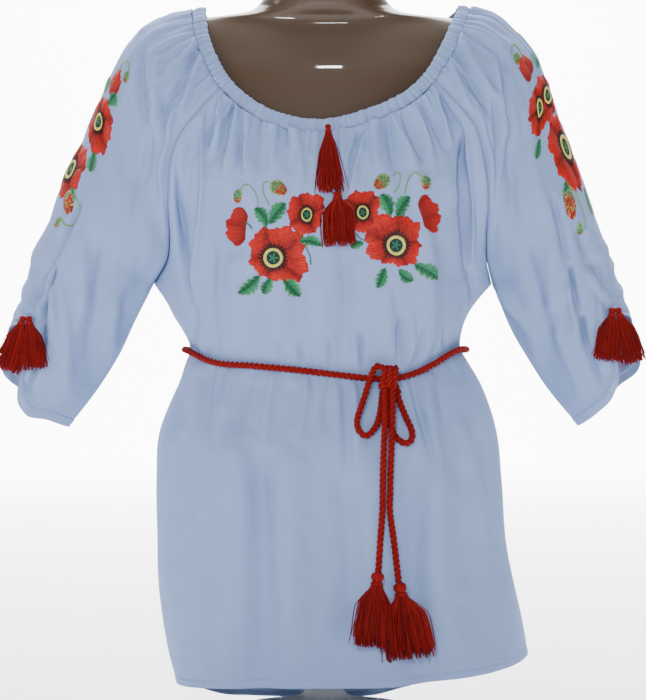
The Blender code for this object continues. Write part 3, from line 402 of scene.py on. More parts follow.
def crease_height(creases, x, z):
    """Sum of creases drawn as lines: a bell across each line, risen and faded along it."""
    total = np.zeros(x.shape)
    for x0, z0, x1, z1, width, height in creases:
        length = math.hypot(x1 - x0, z1 - z0)
        along = ((x - x0) * (x1 - x0) + (z - z0) * (z1 - z0)) / length ** 2
        across = ((x - x0) * (z1 - z0) - (z - z0) * (x1 - x0)) / length
        bend = across + 0.05 * length * np.sin(along * 2.6 + x0)
        taper = ease(along * 4 + 0.6) * ease((1 - along) * 2 + 0.3)
        wide = width * (0.75 + 0.5 * np.clip(along, 0, 1))
        total += height * taper * np.exp(-(bend / wide) ** 2)
    return total


def gathers(plan, across, down):
    """Many small folds that hang from a gathered edge.

    Each is a bell across the panel times a falling exponential down it, with its own place,
    length, height and width drawn from a fixed seed.
    """
    seed, count, lengths, heights, width = plan
    rng = np.random.default_rng(seed)
    place = (np.arange(count) + rng.uniform(-0.38, 0.38, count)) / count
    length = rng.uniform(*lengths, count)
    height = rng.uniform(*heights, count)
    wide = width * rng.uniform(0.7, 1.35, count) / count
    lean = rng.uniform(-0.35, 0.35, count) / count
    total = np.zeros(across.shape)
    for p, l, h, w, k in zip(place, length, height, wide, lean):
        fall = np.clip(down / l, 0, None)
        total += h * np.exp(-fall ** 1.6) * np.exp(-((across - p - k * fall) / (w * (1 + 0.6 * fall))) ** 2)
    return total


def ripple(seed, u, v, size):
    """Soft random field: seeded values on a square lattice of `size`, eased between corners."""
    rng = np.random.default_rng(seed)
    values = rng.uniform(-1, 1, (64, 64))
    a, b = u / size, v / size
    i, j = np.floor(a).astype(int), np.floor(b).astype(int)
    fa, fb = ease(a - i), ease(b - j)
    i, j = i % 63, j % 63
    low = values[i, j] * (1 - fa) + values[i + 1, j] * fa
    high = values[i, j + 1] * (1 - fa) + values[i + 1, j + 1] * fa
    return low * (1 - fb) + high * fb


def crumple(seed, u, v, apart=5):
    """Soft unevenness of worn cloth: a wide ripple plus a finer and lower one."""
    return 1.1 * ripple(seed, u, v, 17.0) + 0.45 * ripple(seed + apart, u, v, 6.5)


def hem_rib(row, drop):
    """Turned hem: half a millimetre proud below its line of stitches, dipped along that line."""
    above = (2.0 - row) * drop
    return 0.5 * (above < HEM_TURN) - 0.6 * np.exp(-((above - HEM_TURN) / 1.1) ** 2)


def side_edge(raglan, right, row):
    """Edge of a body panel: rows 0 to 1 down the raglan seam, 1 to 2 down the side seam."""
    upper = curve(raglan, np.clip(row, 0, 1))
    z = np.interp(row, (1.0, WAIST_ROW, 2.0), (UNDERARM_Z, WAIST_Z, HEM_CORNERS[right]))
    x = smooth(SIDES, z)[..., right]
    lower = np.stack([x, np.zeros_like(z), z], -1)
    return np.where((row <= 1)[..., None], upper, lower)


def body_row(front, s, row):
    """Point of a body panel before its top edge is brought to the casing."""
    left = side_edge(RAGLAN_LEFT_FRONT if front else RAGLAN_LEFT_BACK, 0, row)
    right = side_edge(RAGLAN_RIGHT_FRONT if front else RAGLAN_RIGHT_BACK, 1, row)
    frac = (s + 1) / 2
    seam_z = left[..., 2] + (right[..., 2] - left[..., 2]) * frac
    core = smooth(CORE, seam_z)
    near = np.abs(s) ** 12
    x_left = core[..., 0] + (left[..., 0] - core[..., 0]) * near
    x_right = core[..., 1] + (right[..., 0] - core[..., 1]) * near
    x = x_left + (x_right - x_left) * frac
    top = under_band(SEAM_LF, SEAM_RF, frac) if front else under_band(SEAM_RB, SEAM_LB, 1 - frac)
    ends = (RAGLAN_LEFT_FRONT, RAGLAN_RIGHT_FRONT) if front else (RAGLAN_LEFT_BACK, RAGLAN_RIGHT_BACK)
    top_seam = ends[0][0][2] + (ends[1][0][2] - ends[0][0][2]) * frac
    hem_seam = HEM_CORNERS[0] + (HEM_CORNERS[1] - HEM_CORNERS[0]) * frac
    hem_z = smooth(FRONT_HEM if front else BACK_HEM, x)
    level = (seam_z + (top[..., 2] - top_seam) * (1 - np.clip(row, 0, 1)) ** 1.5
             + (hem_z - hem_seam) * ease((row - 1.3) / 0.7))
    down = (top[..., 2] - level) / (top[..., 2] - hem_z)
    rise = (smooth(WAIST_RISE, x) if front else np.full(x.shape, -2.0)) * (1 - near)
    z = level + rise * ease(1 - np.abs(level - WAIST_Z) / 120)
    depth = smooth(DEPTHS, level)[..., 0 if front else 1]
    edge_y = np.abs(left[..., 1]) + (np.abs(right[..., 1]) - np.abs(left[..., 1])) * frac
    power = 0.5 + 0.12 * ease((row - 0.45) / 0.2) * (1 - ease((row - 0.95) / 0.15))
    y = depth * np.clip(1 - np.abs(s) ** 2.4, 0, 1) ** power + edge_y * near
    return x, y, z, down, level, top


def body_panel(front, s, row):
    """Point of the front or back panel.

    s runs -1 to 1 from left seam to right, row 0 to 2 from casing over underarm to hem.
    A row's depth is a superellipse between the seams, and its last part turns to them.
    """
    x, y, z, down, level, top = body_row(front, s, row)
    x_top, y_top, *_ = body_row(front, s, np.zeros_like(row))
    fade = (1 - np.clip(down, 0, 1)) ** 8
    x = x + (top[..., 0] - x_top) * fade
    y = y + (np.abs(top[..., 1]) - y_top) * fade
    gather = 1 - np.exp(-((level - WAIST_Z) / 16) ** 2)
    edge = ease((1 - np.abs(s)) * 12)
    y = y + 0.75 * fold_height(FRONT_FOLDS if front else BACK_FOLDS, s, down) * edge * gather
    return np.stack([x, -y if front else y, z], -1)


def sleeve_panel(right, w, row):
    """Point of a sleeve before its top is brought to the casing, and the casing's point.

    w runs 0 to 1 from the front seam over the outer line to the back seam, row 0 to 1 down
    the raglan and 1 to 2 down the tube.  Each section is two cubic arcs that meet on the
    outer line, where they run straight back.
    """
    tube = smooth(TUBE_RIGHT if right else TUBE_LEFT, np.clip(row - 1, 0, 1))
    above = (row <= 1)[..., None]
    zero = np.zeros_like(row)
    inner = np.stack([tube[..., 0], zero, tube[..., 1]], -1)
    upper = np.clip(row, 0, 1)
    front = np.where(above, curve(RAGLAN_RIGHT_FRONT if right else RAGLAN_LEFT_FRONT, upper), inner)
    back = np.where(above, curve(RAGLAN_RIGHT_BACK if right else RAGLAN_LEFT_BACK, upper), inner)
    outer_tube = np.stack([tube[..., 2], zero, tube[..., 3]], -1)
    outer = np.where(above, curve(OUTER_RIGHT if right else OUTER_LEFT, upper), outer_tube)
    half = tube[..., 4]
    shut = ease((row - 0.5) / 0.5)
    t = np.where(w <= 0.5, w * 2, 2 - w * 2)[..., None]
    start = np.where((w <= 0.5)[..., None], front, back)
    way = np.where(w <= 0.5, -1.0, 1.0)
    lean = (outer - start) * np.array([0.4, 0.0, 0.4])
    lean[..., 1] += way * 8
    bow = np.stack([zero, way * half * 4 / 3, zero], -1) + unit(outer - start) * (half * 0.55)[..., None]
    c1 = start + lean * (1 - shut)[..., None] + bow * shut[..., None]
    back_off = np.stack([zero, start[..., 1] * 0.6 * (1 - shut) + way * half * 4 / 3 * shut, zero], -1)
    c2 = outer + back_off
    point = start * (1 - t)**3 + 3 * c1 * t * (1 - t)**2 + 3 * c2 * t**2 * (1 - t) + outer * t**3
    if right:
        first = np.where((w <= 0.5)[..., None], under_band(SEAM_RF, CREST_R, np.clip(w * 2, 0, 1)),
                         under_band(CREST_R, SEAM_RB, np.clip(w * 2 - 1, 0, 1)))
    else:
        first = np.where((w <= 0.5)[..., None],
                         under_band(len(BAND), CREST_L, np.clip(w * 2, 0, 1)),
                         under_band(CREST_L, SEAM_LB, np.clip(w * 2 - 1, 0, 1)))
    return point, first


def sleeve_surface(right, w, row):
    """Point of a sleeve, its top on the casing and its cuff dropped or drawn up by a table."""
    point, first = sleeve_panel(right, w, row)
    base, _ = sleeve_panel(right, w, np.zeros_like(row))
    edge = ((w > 1e-9) & (w < 1 - 1e-9))[..., None]
    point = point + (first - base) * ((1 - np.clip(row, 0, 1)) ** 2)[..., None] * edge
    drop = smooth(CUFF_RIGHT if right else CUFF_LEFT, w) * np.clip(row - 1, 0, 1) ** 2.5
    way = 1.0 if right else -1.0
    return point + drop[..., None] * np.array([way * SLEEVE_AXIS_X, 0, SLEEVE_AXIS_Z])


def slopes_normal(surface, a, b):
    """Outward unit normal of a surface function from central differences in its two parameters."""
    step = 2e-3
    da = surface(a + step, b) - surface(a - step, b)
    db = surface(a, b + step) - surface(a, b - step)
    return unit(np.cross(da, db))


def belt_z(x):
    """Height of the belt line in front at x."""
    return WAIST_Z + smooth(WAIST_RISE, x)


def front_surface(s, row):
    """Finished front: the panel, plus creases, hanging gathers and soft ripple along its normal."""
    base = body_panel(True, s, row)
    x, z = base[..., 0], base[..., 2]
    _, _, _, _, level, top = body_row(True, s, row)
    down = np.maximum(top[..., 2] - level, 0)
    high = crease_height(FRONT_CREASES, x, z) * FRONT_CREASE + gathers(FRONT_GATHERS, (s + 1) / 2, down)
    high = high + gathers(FRONT_BELT_GATHERS, (s + 1) / 2, np.abs(z - belt_z(x)))
    return finish_body(True, base, high, s, row)


def back_surface(s, row):
    """Finished back: the front's creases mirrored, moved and made uneven, with its own gathers."""
    base = body_panel(False, s, row)
    x, z = base[..., 0], base[..., 2]
    _, _, _, _, level, top = body_row(False, s, row)
    down = np.maximum(top[..., 2] - level, 0)
    rng = np.random.default_rng(5)
    uneven = rng.uniform(0.55, 1.1, len(FRONT_CREASES))
    moved = [(9 - x0 * 0.96, z0 + 34 * (z0 > 500), 9 - x1 * 0.96, z1 + 20 * (z1 > 500), w, h * k)
             for (x0, z0, x1, z1, w, h), k in zip(FRONT_CREASES, uneven)]
    high = crease_height(moved, x, z) * BACK_CREASE + gathers(BACK_GATHERS, (s + 1) / 2, down)
    high = high + gathers(BACK_BELT_GATHERS, (s + 1) / 2, np.abs(z - BACK_BELT_Z))
    return finish_body(False, base, high, s, row)


def finish_body(front, base, high, s, row):
    """Push a body panel along its normal, calmer under the belt, dipped at seams, ribbed at the hem."""
    x, z = base[..., 0], base[..., 2]
    belt = belt_z(x) if front else np.full(x.shape, BACK_BELT_Z)
    calm = 0.12 + 0.88 * (1 - np.exp(-((z - belt) / 8) ** 2))
    inward = 1 - np.abs(s)
    high = (high + crumple(21 if front else 22, x + 300, z)) * calm * ease(inward * 14)
    high = high - 0.9 * np.exp(-(inward / 0.008) ** 2) + hem_rib(row, BODY_DROP)
    normal = slopes_normal(lambda a, b: body_panel(front, a, b), np.clip(s, -0.985, 0.985),
                           np.clip(row, 0.01, 1.99))
    return base + normal * (np.sign(normal[..., 1]) * (-1 if front else 1) * high)[..., None]


def sleeve_cloth(right, w, row):
    """Finished sleeve: its surface plus creases, gathers at the casing and rays at the cuff's tie."""
    base = sleeve_surface(right, w, row)
    creases = RIGHT_CREASES if right else LEFT_CREASES
    hidden = [(x0 * 0.97, z0 + 12, x1 * 0.97, z1 + 9, width * 1.2, -height * 0.8)
              for x0, z0, x1, z1, width, height in creases]
    x, z = base[..., 0], base[..., 2]
    turn = ease((w - 0.46) / 0.08)
    high = crease_height(creases, x, z) * (1 - turn) - crease_height(hidden, x, z) * turn
    high = high * SLEEVE_CREASE + gathers(SLEEVE_GATHERS[right], w, row * 240)
    tie_x, tie_v = (w - CUFF_TIE_W) * SLEEVE_GIRTH, (row - CUFF_TIE_ROW) * SLEEVE_DROP
    reach = np.hypot(tie_x, tie_v)
    angle = np.arctan2(tie_v, tie_x)
    rays = np.sin(angle * 9 + 0.7 * np.sin(angle * 4)) * np.exp(-((reach - 22) / 20) ** 2)
    high = high + 1.9 * rays - 4.0 * np.exp(-(reach / 9) ** 2)
    high = high + crumple(41 + right, w * SLEEVE_GIRTH, row * 200, apart=2)
    edge = np.minimum(w, 1 - w)
    high = high * ease(edge * 22) - 0.9 * np.exp(-(edge / 0.005) ** 2) + hem_rib(row, SLEEVE_DROP)
    normal = slopes_normal(lambda a, b: sleeve_surface(right, a, b), np.clip(w, 0.015, 0.985),
                           np.clip(row, 0.01, 1.99))
    way = -1.0 if right else 1.0
    return base + normal * (way * high)[..., None]


def grid_faces(rows, cols, close_rows=False, close_cols=False):
    """Quads between neighbours of a grid of points, closed round either way when asked."""
    index = np.arange(rows * cols).reshape(rows, cols)
    if close_rows:
        index = np.vstack([index, index[:1]])
    if close_cols:
        index = np.hstack([index, index[:, :1]])
    return np.stack([index[:-1, :-1], index[1:, :-1], index[1:, 1:], index[:-1, 1:]], -1).reshape(-1, 4)


def make_piece(name, verts, quads, mat, uv=None, colour=None, nodes=(), weld=False):
    """One smooth-shaded mesh from arrays, with its uv and colour given at the points.

    A weld joins points that share a place, which closes the seams and poles of turned shapes.
    """
    verts = np.asarray(verts, dtype=np.float64).reshape(-1, 3) * MM
    mesh = bpy.data.meshes.new(name)
    mesh.from_pydata(verts.tolist(), [], np.asarray(quads).tolist())
    corner = np.zeros(len(mesh.loops), dtype=np.int32)
    mesh.loops.foreach_get("vertex_index", corner)
    if uv is not None:
        layer = mesh.uv_layers.new(name="UVMap")
        layer.data.foreach_set("uv", np.asarray(uv, dtype=np.float32).reshape(-1, 2)[corner].ravel())
    if colour is not None:
        data = mesh.color_attributes.new(name="Tint", type="FLOAT_COLOR", domain="POINT")
        rgba = np.ones((len(verts), 4), dtype=np.float32)
        rgba[:, :3] = np.asarray(colour).reshape(-1, 3)
        data.data.foreach_set("color", rgba.ravel())
    mesh.polygons.foreach_set("use_smooth", np.ones(len(mesh.polygons), dtype=bool))
    if weld:
        work = bmesh.new()
        work.from_mesh(mesh)
        bmesh.ops.remove_doubles(work, verts=work.verts, dist=WELD)
        work.to_mesh(mesh)
        work.free()
    mesh.update()
    obj = bpy.data.objects.new(name, mesh)
    bpy.context.scene.collection.objects.link(obj)
    mesh.materials.append(mat)
    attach(obj, "root")
    if nodes:
        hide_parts(*nodes)
    return obj


def turned_out(verts, quads, centre):
    """Quads wound so that most of them face away from a middle point."""
    a, b, c = verts[quads[:, 0]], verts[quads[:, 1]], verts[quads[:, 2]]
    away = np.sum(np.cross(b - a, c - a) * (a - centre), axis=1).sum()
    return quads if away > 0 else quads[:, ::-1]


def cloth_piece(name, surface, a, b, thick, flip, mat, node):
    """Closed thin wall: outer and inner skins half a thickness each side of a surface, and rims.

    The uv runs in millimetres along the cloth's two directions.
    """
    bb, aa = np.meshgrid(b, a, indexing="ij")
    mid = surface(aa, bb)
    normal = unit(np.cross(np.gradient(mid, axis=1), np.gradient(mid, axis=0))) * flip
    rows, cols = mid.shape[:2]
    outer, inner = mid + normal * thick / 2, mid - normal * thick / 2
    n = rows * cols
    quads = grid_faces(rows, cols)
    index = np.arange(n).reshape(rows, cols)
    rim = np.concatenate([index[0, :], index[1:, -1], index[-1, -2::-1], index[-2:0:-1, 0]])
    rims = np.stack([rim, np.roll(rim, -1), np.roll(rim, -1) + n, rim + n], -1)
    across = np.cumsum(np.linalg.norm(np.diff(mid, axis=1, prepend=mid[:, :1]), axis=2), axis=1)
    along = np.cumsum(np.linalg.norm(np.diff(mid, axis=0, prepend=mid[:1]), axis=2), axis=0)
    uv = np.stack([across - across[:, cols // 2:cols // 2 + 1], along], -1).reshape(-1, 2)
    verts = np.vstack([outer.reshape(-1, 3), inner.reshape(-1, 3)])
    faces = np.vstack([quads, quads[:, ::-1] + n, rims])
    wound = np.cross(verts[quads[:, 1]] - verts[quads[:, 0]], verts[quads[:, 2]] - verts[quads[:, 0]])
    if np.sum(wound * normal[:-1, :-1].reshape(-1, 3)) < 0:
        faces = faces[:, ::-1]
    return make_piece(name, verts, faces, mat, uv=np.vstack([uv, uv]), nodes=(node,))


def cord_frames(path, closed):
    """Two unit directions square to a path, turned as little as possible along it."""
    tangent = unit(np.roll(path, -1, 0) - np.roll(path, 1, 0)) if closed else unit(np.gradient(path, axis=0))
    side = np.zeros_like(path)
    start = np.cross(tangent[0], (0.0, 1.0, 0.0))
    if np.linalg.norm(start) < 0.2:
        start = np.cross(tangent[0], (0.0, 0.0, 1.0))
    side[0] = unit(start)
    for i in range(1, len(path)):
        side[i] = unit(side[i - 1] - tangent[i] * np.dot(side[i - 1], tangent[i]))
    return side, np.cross(tangent, side)


def evened(path, count, closed=False):
    """The same line with `count` points at equal lengths along it."""
    path = np.vstack([path, path[:1]]) if closed else path
    length = np.concatenate([[0], np.cumsum(np.linalg.norm(np.diff(path, axis=0), axis=1))])
    want = np.linspace(0, length[-1], count + 1)[:-1] if closed else np.linspace(0, length[-1], count)
    return np.stack([np.interp(want, length, path[:, k]) for k in range(3)], 1), length[-1]


def rope(path, diameter, pitch, closed=False):
    """Twisted cord: each strand a round tube on a helix about the path.

    A strand's middle turns about the path once each `pitch`; its radius fills the cord, and
    its open ends narrow to a pole.
    """
    count, sides, step, swell = 3, 8, 1.6, 1.06
    length = np.linalg.norm(np.diff(path, axis=0), axis=1).sum()
    path, length = evened(path, int(length / step), closed)
    side, other = cord_frames(path, closed)
    n = len(path)
    turns = max(1, round(length / pitch)) if closed else length / pitch
    slip = math.atan2(np.dot(side[-1], other[0]), np.dot(side[-1], side[0])) if closed else 0.0
    at = np.arange(n) / n
    radius = diameter / 2 / (1 + 1 / math.sin(math.pi / count)) * swell
    offset = diameter / 2 - radius
    angle = np.arange(sides) * 2 * math.pi / sides
    ring = side[:, None] * np.cos(angle)[None, :, None] + other[:, None] * np.sin(angle)[None, :, None]
    rows = n if closed else n + 2
    one = grid_faces(rows, sides, close_rows=closed, close_cols=True)[:, ::-1]
    verts, faces, uvs = [], [], []
    for k in range(count):
        phase = 2 * math.pi * (k / count + at * turns) - slip * at
        middle = (path + (side * np.cos(phase)[:, None] + other * np.sin(phase)[:, None]) * offset)[:, None]
        pts = middle + ring * radius
        uv = np.stack(np.broadcast_arrays(angle[None, :] / 6.283 * 5.2 * radius, (at * length)[:, None]), -1)
        if not closed:
            pts[[0, -1]] = middle[[0, -1]] + (pts[[0, -1]] - middle[[0, -1]]) * 0.3
            pole = np.broadcast_to(middle[[0, -1]], (2, sides, 3))
            pts = np.concatenate([pole[:1], pts, pole[1:]])
            uv = np.concatenate([uv[:1], uv, uv[-1:]])
        faces.append(one + k * rows * sides)
        verts.append(pts.reshape(-1, 3))
        uvs.append(uv.reshape(-1, 2))
    return np.vstack(verts), np.vstack(faces), np.vstack(uvs), path, length


def join(parts):
    """Several sets of points, quads and per-point values as one."""
    shift = np.cumsum([0] + [len(p[0]) for p in parts[:-1]])
    verts = np.vstack([p[0] for p in parts])
    quads = np.vstack([p[1] + k for p, k in zip(parts, shift)])
    rest = [np.vstack([p[i] for p in parts]) for i in range(2, len(parts[0]))]
    return (verts, quads, *rest)


def solve_front(x, z):
    """The front's parameters at each x and z: twelve damped Newton steps on arrays."""
    s = np.clip(np.asarray(x, float) / 165, -0.9, 0.9)
    row = np.interp(z, (41, WAIST_Z, UNDERARM_Z, 620), (1.95, WAIST_ROW, 1.0, 0.05))
    for _ in range(12):
        here = body_panel(True, s, row)
        ds = (body_panel(True, s + 1e-4, row) - here) / 1e-4
        dr = (body_panel(True, s, row + 1e-4) - here) / 1e-4
        det = ds[..., 0] * dr[..., 2] - dr[..., 0] * ds[..., 2]
        ex, ez = x - here[..., 0], z - here[..., 2]
        s = np.clip(s + 0.85 * (ex * dr[..., 2] - ez * dr[..., 0]) / det, -0.985, 0.985)
        row = np.clip(row + 0.85 * (ez * ds[..., 0] - ex * ds[..., 2]) / det, 0.015, 1.985)
    return s, row


def front_normal(s, row):
    """Unit normal of the finished front, towards the viewer."""
    ahead = [front_surface(np.clip(s + step, -0.99, 0.99), row) for step in (4e-3, -4e-3)]
    below = [front_surface(s, np.clip(row + step, 0.01, 1.99)) for step in (4e-3, -4e-3)]
    normal = unit(np.cross(ahead[0] - ahead[1], below[0] - below[1]))
    return normal * -np.sign(normal[..., 1:2])


def front_depth(x, z):
    """Points of the front at each x and z, in front of the nearby folds as well as the panel."""
    s, row = solve_front(x, z)
    point = body_panel(True, s, row)
    near = [front_surface(np.clip(s + k, -0.98, 0.98), row)[..., 1] for k in (-0.03, 0.0, 0.03)]
    point[..., 1] = np.minimum(point[..., 1], np.minimum.reduce(near))
    return point


def on_front(table, count):
    """Line in front of the panel from rows of x, z and distance, evened out by length."""
    rows = np.array(table, dtype=float)
    points = front_depth(rows[:, 0], rows[:, 1])
    points[:, 1] -= CLOTH / 2 + rows[:, 2]
    fine = curve(points.tolist(), np.linspace(0, 1, 200))
    return evened(fine, count)[0]


# ---------------------------------------------------------------- embroidery

RED = np.array((0.52, 0.012, 0.005))
DEEP_RED = np.array((0.115, 0.004, 0.003))
BURGUNDY = np.array((0.030, 0.004, 0.006))
CREAM = np.array((0.70, 0.66, 0.13))
PALE_GREEN = np.array((0.17, 0.36, 0.10))
TEAL = np.array((0.016, 0.15, 0.065))
DARK_GREEN = np.array((0.005, 0.055, 0.028))
LEAF_LIGHT = np.array((0.13, 0.42, 0.17))
NIGHT = np.array((0.008, 0.020, 0.030))


def patch(u, v, lift, colour, thread):
    """One grid of stitches: local u and v in mm, lift off the cloth, colour, and thread direction.

    Its quads are wound anticlockwise in u and v, by the sign of their summed area.
    """
    shape = u.shape
    points = np.stack([u, v, np.broadcast_to(lift, shape)], -1).reshape(-1, 3)
    tint = np.broadcast_to(colour, shape + (3,)).reshape(-1, 3)
    quads = grid_faces(*shape)
    first = points[quads[:, 0], :2]
    one, two = points[quads[:, 1], :2] - first, points[quads[:, 3], :2] - first
    if np.sum(one[:, 0] * two[:, 1] - one[:, 1] * two[:, 0]) < 0:
        quads = quads[:, ::-1]
    return points, quads, tint, thread.reshape(-1, 2)


def poppy(u0, v0, outline, ring, lobes, seed, size=1.0):
    """Satin-stitched poppy seen from the front.

    The outline is a table of radius against angle in degrees, rippled a little; stitches run
    out from the ring; creases darken between the lobes.  The ring is a raised band of light
    thread with a dark fringe, and holds a dark star.
    """
    rng = np.random.default_rng(seed)
    table = [(a + turn, r) for turn in (-360, 0, 360) for a, r in outline]
    angle = np.linspace(0, 2 * math.pi, 145)
    degrees = np.degrees(angle)
    wave = 1 + 0.045 * np.sin(angle * 9 + rng.uniform(0, 6)) + 0.035 * np.sin(angle * 17 + 1.3)
    wave = wave + 0.02 * np.sin(angle * 31 + seed)
    outer = smooth(table, degrees) * wave * size
    t = np.linspace(0, 1, 12)[:, None]
    ring_u, ring_v = ring
    hold = 0.92 * np.hypot(ring_u * np.cos(angle), ring_v * np.sin(angle))
    radius = hold + (outer - hold) * t
    between = np.abs(np.sin((angle - lobes[0]) * lobes[1] / 2)) ** 0.35
    bulge = 0.25 + 1.5 * np.sin(np.clip(t, 0, 1) * math.pi) ** 0.6 * between
    bulge = np.where(t >= 1, -0.5, bulge)
    mottle = (ripple(seed + 7, angle * 9 + 40, t * 14 + 40, 1.0)
              + 0.6 * ripple(seed + 9, angle * 30 + 90, t * 7 + 9, 1.0))
    mix = np.clip(0.15 + 0.85 * t * between + 0.26 * mottle - 0.35 * (1 - between), 0, 1)
    mix = np.where(t > 0.93, mix * 0.35, mix)
    tint = DEEP_RED + (RED - DEEP_RED) * mix[..., None]
    thread = np.stack(np.broadcast_arrays(angle * 16, radius), -1)
    parts = [patch(u0 + radius * np.cos(angle), v0 + radius * np.sin(angle), bulge, tint, thread)]
    fringe_t = np.linspace(0, 1, 4)[:, None]
    spikes = 1.30 + 0.45 * np.abs(np.sin(angle * 11 + seed)) ** 2
    fringe = np.hypot(ring_u * np.cos(angle), ring_v * np.sin(angle)) * (0.95 + (spikes - 0.95) * fringe_t)
    lift = np.where(fringe_t >= 1, 0.5, 1.7)
    parts.append(patch(u0 + fringe * np.cos(angle), v0 + fringe * np.sin(angle), lift,
                       BURGUNDY, np.stack(np.broadcast_arrays(angle * 10, fringe), -1)))
    round_t = np.linspace(0, 1, 7)[:, None]
    band_u = ring_u * (0.70 + 0.30 * round_t)
    band_v = ring_v * (0.70 + 0.30 * round_t)
    lift = 1.7 + 1.0 * np.sin(round_t * math.pi)
    pale = CREAM * (0.45 + 0.75 * np.sin(angle * 17)[:, None] ** 2)
    parts.append(patch(u0 + band_u * np.cos(angle), v0 + band_v * np.sin(angle), lift,
                       pale[None], np.stack(np.broadcast_arrays(angle * 9, band_u), -1)))
    inner = np.linspace(0, 0.74, 9)[:, None]
    star = np.abs(np.sin(angle * 2.5)) ** 1.5
    dark = NIGHT + (TEAL * 1.3 - NIGHT) * (np.clip(1.35 - inner / 0.5 - star, 0, 1) > 0.25)[..., None]
    parts.append(patch(u0 + ring_u * inner * np.cos(angle), v0 + ring_v * inner * np.sin(angle),
                       1.9 - 0.5 * inner, dark, np.stack(np.broadcast_arrays(angle * 6, inner * 9), -1)))
    return parts


def half_poppy(u0, v0, u1, v1, width, seed):
    """Poppy from the side: stitches run from its foot (u0, v0) towards a fuller head (u1, v1)."""
    length = math.hypot(u1 - u0, v1 - v0)
    ax, ay = (u1 - u0) / length, (v1 - v0) / length
    t = np.linspace(0, 1, 13)[:, None]
    a = np.linspace(-1, 1, 41)
    head = 1 - 0.40 * a ** 2 + 0.06 * np.sin(a * 9 + seed) + 0.035 * np.sin(a * 19)
    reach = t * head * length
    spread = width / 2 * a * np.sin((t * 0.55 + 0.13) * math.pi) ** 0.7
    fold = np.abs(np.sin(a * 3.2 + 0.4)) ** 0.4
    rim = (t >= 1) | (t <= 0) | (np.abs(a) >= 1)
    lift = np.where(rim, -0.5, 0.3 + 1.3 * np.sin(t * math.pi) ** 0.5 * fold)
    mix = np.clip(0.15 + 0.8 * t * fold + 0.1 * np.sin(a * 30), 0, 1)
    tint = DEEP_RED + (RED - DEEP_RED) * mix[..., None]
    u = u0 + ax * reach - ay * spread
    v = v0 + ay * reach + ax * spread
    return [patch(u, v, lift, tint, np.stack(np.broadcast_arrays(spread * 2.2, reach), -1))]


def leaf(u0, v0, u1, v1, width, bend=0.0, teeth=4, light=0.55):
    """Two-bladed leaf from stalk to tip; stitches slant out from the vein, edge toothed."""
    length = math.hypot(u1 - u0, v1 - v0)
    ax, ay = (u1 - u0) / length, (v1 - v0) / length
    t = np.linspace(0, 1, 49)[:, None]
    a = np.linspace(-1, 1, 17)
    full = np.sin(math.pi * np.clip(t, 0, 1) ** 0.8) ** 0.8
    tooth = 0.62 + 0.55 * np.abs(np.sin(t * math.pi * (teeth + 1) + 0.5 * (a > 0))) ** 0.7
    across = a * width / 2 * full * tooth
    sweep = t * length + 0.30 * width * np.abs(a) * full
    arch = bend * np.sin(t * math.pi) * length
    u = u0 + ax * sweep - ay * (across + arch)
    v = v0 + ay * sweep + ax * (across + arch)
    vein = np.exp(-(a / 0.09) ** 2)
    lift = np.where((np.abs(a) >= 1) | (t <= 0) | (t >= 1), -0.5, 0.9 + 0.5 * np.cos(a * 1.2) - 0.8 * vein)
    shade = np.where(a[None] > 0, 0.85, 0.25) + 0.15 * np.sin(t * 40)
    tint = DARK_GREEN + (TEAL * 1.5 - DARK_GREEN) * shade[..., None]
    tint = tint + (LEAF_LIGHT - tint) * (light * np.exp(-((np.abs(a) - 0.85) / 0.2) ** 2))[None, :, None]
    thread = np.stack(np.broadcast_arrays((t * length + np.abs(a) * width * 0.4) * 2.4, a * width), -1)
    return [patch(u, v, lift, tint, thread)]


def bud(u0, v0, long, wide, degrees, red=0.5):
    """Oval bud, green at its stalk end and red at its tip, stitched across."""
    turn = math.radians(degrees)
    a = np.linspace(0, 2 * math.pi, 49)
    t = np.linspace(0, 1, 8)[:, None]
    p, q = t * long / 2 * np.cos(a), t * wide / 2 * np.sin(a) * (1 + 0.08 * np.cos(3 * a))
    u = u0 + p * math.cos(turn) - q * math.sin(turn)
    v = v0 + p * math.sin(turn) + q * math.cos(turn)
    lift = np.where(t >= 1, -0.5, 0.3 + 1.8 * np.sqrt(np.clip(1 - t ** 2, 0, 1)))
    at = p / long + 0.5
    jag = at + 0.07 * np.sin(q * 2.3)
    green = np.where((t > 0.8)[..., None], PALE_GREEN, TEAL * 1.3)
    spots = ripple(int(long * 7 + wide), p * 1.1 + 60, q * 1.1 + 60, 1.0)
    tint = np.where(((jag > 1 - red) & (spots < 0.35) | (spots > 0.62))[..., None], RED * 0.6, green)
    tint = np.where((np.abs(spots) < 0.05)[..., None], CREAM * 0.8, tint)
    return [patch(u, v, lift, tint, np.stack(np.broadcast_arrays(p * 2.4, q), -1))]


def stem(points, width, colour=TEAL):
    """Thin raised line of stitches along a smooth curve."""
    path = curve(points, np.linspace(0, 1, 41))
    direction = unit(np.gradient(path, axis=0))
    a = np.linspace(-1, 1, 5)
    u = path[:, :1] - direction[:, 1:] * a * width / 2
    v = path[:, 1:] + direction[:, :1] * a * width / 2
    lift = np.where(np.abs(a) >= 1, -0.4, 1.1) + 0 * u
    run = np.linspace(0, 1, 41)[:, None] * 30
    return [patch(u, v, lift, colour, np.stack(np.broadcast_arrays(run * 2.4, a * width), -1))]


